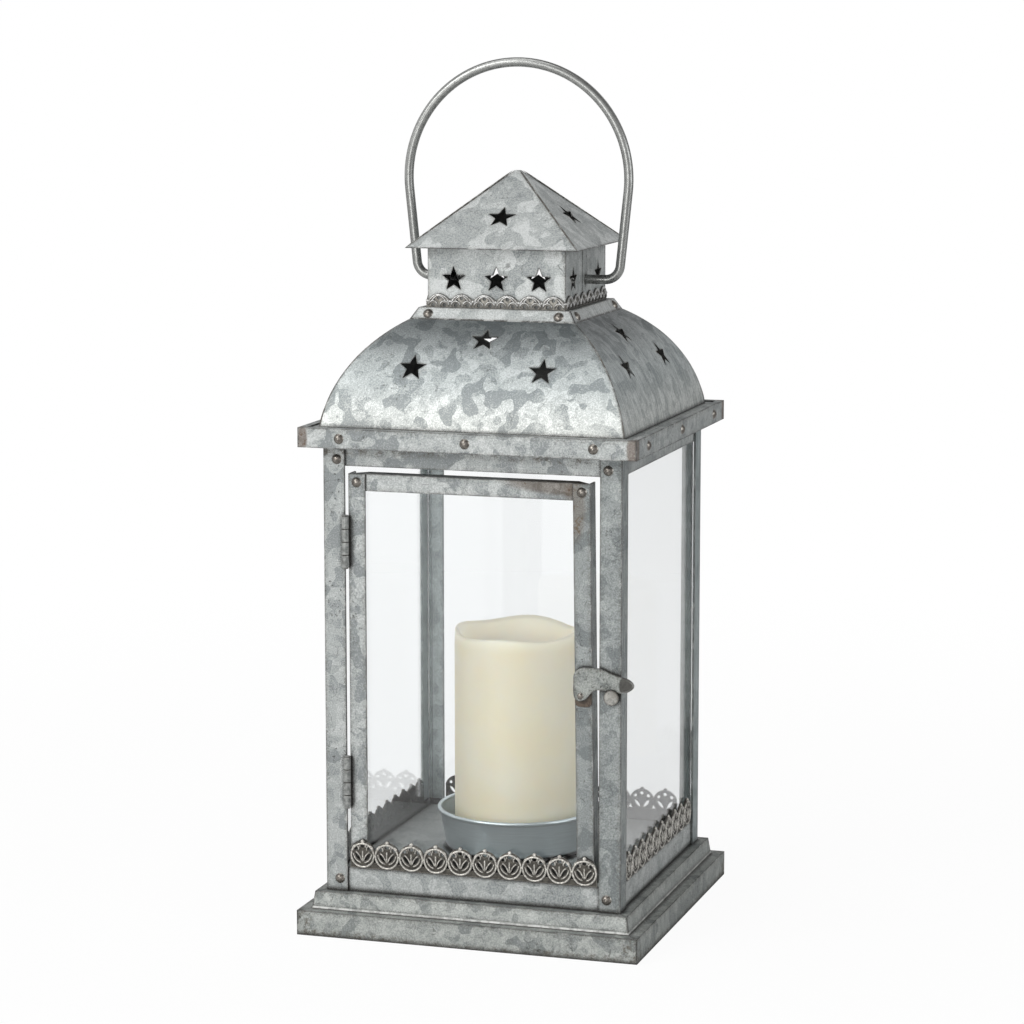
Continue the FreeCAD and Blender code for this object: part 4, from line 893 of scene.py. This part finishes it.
class LANTERN_OT_glass(bpy.types.Operator):
    """Clears the panes"""
    bl_idname = "lantern.glass"
    bl_label = "Glaze the lantern"
    bl_options = {"REGISTER", "UNDO"}

    def execute(self, context):
        for name, nodes, clearness in (("door_pane", ["door_glass"], 0.97),
                                       ("window_panes", ["glass_right", "glass_back", "glass_left"], 0.955)):
            material, b, shader, place = new_material(name)
            settle(shader, {"Base Color": (clearness, clearness + 0.010, clearness + 0.013, 1.0),
                            "Transmission Weight": 1.0, "IOR": 1.45, "Metallic": 0.0})
            haze = b.noise(b.stretched(place, (6.0, 6.0, 2.0)), 1.0)
            b.feed(shader.inputs, {"Roughness": b.between(haze, 0.45, 0.75, 0.0, 0.03)})
            clear = b.node("ShaderNodeBsdfTransparent", {"Color": WHITE})
            rays = b.node("ShaderNodeLightPath").outputs
            through = b.math("MAXIMUM", rays["Is Shadow Ray"], rays["Is Diffuse Ray"])
            mix = b.node("ShaderNodeMixShader", {0: through, 1: shader.outputs[0], 2: clear.outputs[0]})
            b.feed(material.node_tree.nodes["Material Output"].inputs, {"Surface": mix.outputs[0]})
            dress(nodes, material)
        return {"FINISHED"}


# Candle

# The rim as it is seen: degrees round it from its right-hand end, and millimetres under its highest point
RIM_HEIGHTS = ((0.0, -2.4), (34.4, -3.1), (78.0, 0.0), (113.0, -2.3), (152.0, -0.7), (190.0, -2.0),
               (225.0, -3.7), (278.6, -2.6), (299.0, -4.5), (325.6, -2.2))
RIM_TURN = math.radians(17.4)
RIM_WAVES = np.arange(1, 5)
RIM_CALM = 0.05


def rim_waves(angle):
    """Columns of one, and of the cosine and the sine of one to four turns, at each angle."""
    turns = np.outer(angle, RIM_WAVES)
    return np.column_stack([np.ones(len(turns)), np.cos(turns), np.sin(turns)])


def wavy_top(angle, level, wave):
    """Height of the melted rim round the pillar: its level plus slow waves that pass near the heights seen,
    by least squares in which a wave costs more with the square of its turns."""
    place, height = np.array(RIM_HEIGHTS).T
    seen_waves = rim_waves(np.radians(place))
    cost = np.diag([0.0, *RIM_CALM * RIM_WAVES ** 2, *RIM_CALM * RIM_WAVES ** 2])
    weights = np.linalg.solve(seen_waves.T @ seen_waves + cost, seen_waves.T @ height).round(3)
    rise = (rim_waves(angle.ravel() - RIM_TURN) @ weights).reshape(angle.shape)
    return level + wave * (rise - rise.max())


def wax_profile(shape, radius, core_radius, foot, rim):
    """The wax wall's outline, from the core's foot up the outside, over the lip and down the hollow back to
    the core. Each row is a radius, a height, and 1 where the height is counted from the wavy rim."""
    rounding, inner = shape.lip_round, radius - shape.lip_wall
    crest = radius - 0.25 * MM - rounding
    bowl = rim - shape.bowl_depth
    shoulder = rim - 16.0 * MM
    lamp_hole = 3.4 * MM
    arc = np.linspace(0.0, QUARTER, 9)
    rows = [(core_radius, foot, 0.0), (radius - 1.2 * MM, foot, 0.0),
            (radius - 0.35 * MM, foot + 0.35 * MM, 0.0), (radius, foot + 1.4 * MM, 0.0)]
    rows += [(radius, foot + share * (shoulder - foot), 0.0) for share in (0.25, 0.5, 0.75, 1.0)]
    rows += [(radius, -9.0 * MM, 1.0), (radius - 0.1 * MM, -5.0 * MM, 1.0)]
    rows += [(crest + rounding * math.cos(a), (math.sin(a) - 1.0) * rounding, 1.0) for a in arc]
    bevel = crest - inner
    rows += [(inner + bevel * math.cos(a), bevel * (math.cos(a) - 1.0), 1.0) for a in arc[1:]]
    rows += [(inner - 0.5 * MM, -3.2 * MM, 1.0), (inner - 1.6 * MM, -6.5 * MM, 1.0),
             (inner - 3.6 * MM, bowl + 3.4 * MM, 0.0), (inner - 7.0 * MM, bowl + 1.0 * MM, 0.0),
             (0.5 * inner, bowl, 0.0), (lamp_hole, bowl, 0.0), (lamp_hole, bowl - 6.0 * MM, 0.0),
             (core_radius, bowl - 8.0 * MM, 0.0)]
    return np.array(rows)


def ivory_wax(shape, radius, rim):
    """Wax in two faint tones, with painted light: paler and lighter towards the rim and in the hollow, where
    it also glows.
    """
    material, b, shader, place = new_material("ivory_wax")
    cloud = b.noise(place, 30.0)
    height = b.parts(place)[2]
    wax = linear(shape.wax)
    warm = (wax[0], wax[1] * 0.97, wax[2] * 0.90, 1.0)
    pale = (*(min(1.0, c * 1.06) for c in wax[:3]), 1.0)
    tint = b.blend(b.between(cloud, 0.35, 0.65), wax, warm)
    # Painted light: paler towards the rim
    tint = b.blend(b.between(height, rim - 12.0 * MM, rim - 2.0 * MM, 0.0, 0.7), tint, pale)
    from_axis = b.measure("LENGTH", b.vector("MULTIPLY", place, (1.0, 1.0, 0.0)))
    hollow = b.times(b.between(from_axis, radius - 1.5 * MM, radius - 4.0 * MM),
                     b.between(height, rim - 22.0 * MM, rim - 16.0 * MM))
    # Painted light: the emission is lifted near the rim and in the hollow
    lit = b.math("MAXIMUM", b.between(height, rim - 12.0 * MM, rim - 1.0 * MM, 0.0, 0.7), hollow)
    b.feed(shader.inputs, {
        "Base Color": tint, "Roughness": b.between(cloud, 0.3, 0.7, 0.42, 0.55),
        "Emission Color": b.blend(lit, tint, (1.9, 1.9, 1.85, 1.0)),
        "Normal": b.bump(b.noise(place, 240.0), 0.08, 0.3 * MM)})
    settle(shader, {"Emission Strength": shape.glow, "Subsurface Weight": 0.5,
                    "Subsurface Radius": (1.0, 0.72, 0.42), "Subsurface Scale": 12.0 * MM})
    return material


class LANTERN_OT_candle(bpy.types.Operator):
    """Pours the wax pillar with its melted rim, and finishes what it holds"""
    bl_idname = "lantern.candle"
    bl_label = "Pour the candle"
    bl_options = {"REGISTER", "UNDO"}

    def execute(self, context):
        shape = context.scene.lantern_candle
        low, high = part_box("candle_shell")
        core_low, core_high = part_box("candle_core")
        radius = (high.x - low.x) / 2
        core_radius = (core_high.x - core_low.x) / 2 + 0.3 * MM
        angle = np.linspace(0.0, 2.0 * math.pi, shape.around, endpoint=False)[None]
        table = wax_profile(shape, radius, core_radius, low.z, high.z)
        reach, level, follows = (column[:, None] for column in table.T)
        points = np.stack([0.5 * (low.x + high.x) + reach * np.cos(angle),
                           0.5 * (low.y + high.y) + reach * np.sin(angle),
                           level + follows * wavy_top(angle, high.z, shape.wave)], axis=-1)
        faces = grid_faces(len(table), shape.around, wrap_rows=True, wrap_columns=True)
        new_piece("candle_wax", [(points, faces)], ivory_wax(shape, radius, high.z), "candle",
                  ("candle_shell",))
        dress(["candle_core", "candle_cover"],
              dull_metal("moulded_plastic", seen(232, 230, 222), 0.05, None, 0.45, 0.0, 300.0))
        dress(["candle_switch"], dull_metal("switch_plastic", seen(52, 52, 54), 0.1, None, 0.4, 0.0))
        dress(["candle_cells"],
              dull_metal("cell_jacket", seen(70, 74, 82), 0.12, seen(200, 198, 190), 0.35, 0.4))
        dress(["candle_lamp"], dull_metal("lamp_lens", seen(240, 222, 176), 0.06, None, 0.2, 0.0))
        return {"FINISHED"}


# Studio

# Name, place, size in metres, power in watts and tint of each soft lamp
LAMPS = (
    ("key_lamp", (-1.3, -1.9, 1.5), 1.3, 26.0, (1.0, 1.0, 0.99)),
    ("front_lamp", (-0.2, -2.3, 0.35), 1.0, 9.0, (1.0, 1.0, 0.99)),
    ("top_lamp", (-0.5, -0.4, 2.1), 1.4, 11.0, (1.0, 1.0, 1.0)),
    ("fill_lamp", (2.1, -0.35, 0.7), 1.2, 10.0, (0.97, 0.99, 1.0)),
    ("rear_lamp", (0.6, 2.1, 1.5), 1.2, 3.0, (1.0, 1.0, 1.0)),
)
LAMP_TARGET = Vector((0.0, 0.0, 0.2))

# The camera's sensor in millimetres, how far it sees, and the floor's size and place, in metres
SENSOR_WIDTH = 36.0
SIGHT = 50.0
FLOOR_RADIUS = 5.0
FLOOR_DROP = 0.3 * MM


def looked_at(rays, b):
    """1 for what the camera sees, straight or through a pane."""
    return b.math("MAXIMUM", rays["Is Camera Ray"], rays["Is Transmission Ray"])


def set_camera(scene, setup):
    """A camera on a ball about the aim point."""
    azimuth, elevation = math.radians(setup.azimuth), math.radians(setup.elevation)
    back = Vector((math.sin(azimuth) * math.cos(elevation), -math.cos(azimuth) * math.cos(elevation),
                   math.sin(elevation)))
    data = bpy.data.cameras.new("studio_camera")
    data.lens = setup.lens
    data.sensor_width = SENSOR_WIDTH
    data.shift_x = setup.shift
    data.clip_end = SIGHT
    camera = bpy.data.objects.new("studio_camera", data)
    camera.location = Vector((0.0, 0.0, setup.aim_height)) + back * setup.distance
    camera.rotation_euler = back.to_track_quat("Z", "Y").to_euler()
    scene.collection.objects.link(camera)
    scene.camera = camera


def paper(setup):
    """Pale matt paper that looks white, with a faint shadow near the lantern."""
    material, b, shader, place = new_material("floor_paper")
    settle(shader, {"Base Color": linear(setup.floor), "Roughness": 1.0, "Specular IOR Level": 0.0})
    share = b.between(b.measure("LENGTH", place), 0.15, 1.2, 0.055, 0.0)
    faint = b.node("ShaderNodeBsdfDiffuse", {"Color": WHITE})
    glow = b.node("ShaderNodeEmission", {"Color": WHITE, "Strength": 1.0})
    shown = b.node("ShaderNodeMixShader", {0: share, 1: glow.outputs[0], 2: faint.outputs[0]})
    looked = looked_at(b.node("ShaderNodeLightPath").outputs, b)
    mix = b.node("ShaderNodeMixShader", {0: looked, 1: shader.outputs[0], 2: shown.outputs[0]})
    b.feed(material.node_tree.nodes["Material Output"].inputs, {"Surface": mix.outputs[0]})
    return material


def lay_floor(scene, setup):
    """A flat disc: circles that widen with the square of their number."""
    circles, around = 24, 96
    reach = np.linspace(0.0, 1.0, circles)[:, None] ** 2 * FLOOR_RADIUS
    turn = np.linspace(0.0, 2.0 * math.pi, around, endpoint=False)[None]
    points = np.stack([reach * np.cos(turn), reach * np.sin(turn), np.full((circles, around), -FLOOR_DROP)],
                      axis=-1)
    upward = grid_faces(circles, around, wrap_columns=True)[:, ::-1]
    mesh = merged_mesh("studio_floor", points.reshape(-1, 3), upward, closed=False)
    floor = bpy.data.objects.new("studio_floor", mesh)
    scene.collection.objects.link(floor)
    mesh.materials.append(paper(setup))


def fill_world(scene):
    """A world that looks white, and lights and mirrors less from above, from the right and from behind."""
    world = bpy.data.worlds.new("studio_world")
    scene.world = world
    world.use_nodes = True
    b = Bench(world.node_tree)
    background = world.node_tree.nodes["Background"]
    toward = b.parts(b.node("ShaderNodeTexCoord").outputs["Generated"])
    rays = b.node("ShaderNodeLightPath").outputs
    above = b.between(toward[2], 0.35, 0.85, 1.0, 0.25)
    right = b.between(toward[0], 0.0, 0.9, 1.0, 0.55)
    behind = b.between(toward[1], 0.1, 0.8, 1.0, 0.45)
    overhead = b.times(above, right)
    cast = b.level(rays["Is Glossy Ray"], b.times(overhead, 0.60), b.times(overhead, behind))
    settle(background, {"Color": WHITE})
    b.feed(background.inputs, {"Strength": b.level(looked_at(rays, b), cast, 1.0)})


def hang_lamps(scene):
    """Square soft lamps, each turned to the lantern."""
    for name, place, size, power, tint in LAMPS:
        data = bpy.data.lights.new(name, "AREA")
        data.shape = "SQUARE"
        data.size = size
        data.energy = power
        data.color = tint
        lamp = bpy.data.objects.new(name, data)
        lamp.location = place
        lamp.rotation_euler = (Vector(place) - LAMP_TARGET).to_track_quat("Z", "Y").to_euler()
        lamp.visible_camera = False
        scene.collection.objects.link(lamp)


class LANTERN_OT_studio(bpy.types.Operator):
    """Sets the pale floor, the soft lamps, the plain world and the camera"""
    bl_idname = "lantern.studio"
    bl_label = "Set the studio"
    bl_options = {"REGISTER", "UNDO"}

    def execute(self, context):
        scene = context.scene
        setup = scene.lantern_studio
        set_camera(scene, setup)
        lay_floor(scene, setup)
        fill_world(scene)
        hang_lamps(scene)
        scene.view_settings.view_transform = "Standard"
        return {"FINISHED"}


OPERATORS = (LANTERN_OT_studio, LANTERN_OT_sheet, LANTERN_OT_seams, LANTERN_OT_fittings, LANTERN_OT_glass,
             LANTERN_OT_lace, LANTERN_OT_candle)
SETTINGS = {"lantern_sheet": SheetFinish, "lantern_fittings": FittingFinish, "lantern_candle": CandleShape,
            "lantern_lace": LaceShape, "lantern_studio": StudioSetup}


class LANTERN_PT_sidebar(bpy.types.Panel):
    """Shows the lantern's steps and their settings"""
    bl_idname = "LANTERN_PT_sidebar"
    bl_label = "Lantern"
    bl_space_type = "VIEW_3D"
    bl_region_type = "UI"
    bl_category = "Lantern"

    def draw(self, context):
        for operator in OPERATORS:
            self.layout.operator(operator.bl_idname)
        for setting in SETTINGS:
            box = self.layout.box()
            group = getattr(context.scene, setting)
            for name in group.__annotations__:
                box.prop(group, name)


CLASSES = (*SETTINGS.values(), *OPERATORS, LANTERN_PT_sidebar)


def register():
    for kind in CLASSES:
        bpy.utils.register_class(kind)
    for setting, kind in SETTINGS.items():
        setattr(bpy.types.Scene, setting, PointerProperty(type=kind))


def unregister():
    for setting in SETTINGS:
        delattr(bpy.types.Scene, setting)
    for kind in reversed(CLASSES):
        bpy.utils.unregister_class(kind)


def main():
    register()
    bpy.ops.lantern.studio()
    bpy.ops.lantern.sheet()
    bpy.ops.lantern.seams()
    bpy.ops.lantern.fittings()
    bpy.ops.lantern.glass()
    bpy.ops.lantern.lace()
    bpy.ops.lantern.candle()


if __name__ == "__main__":
    main()
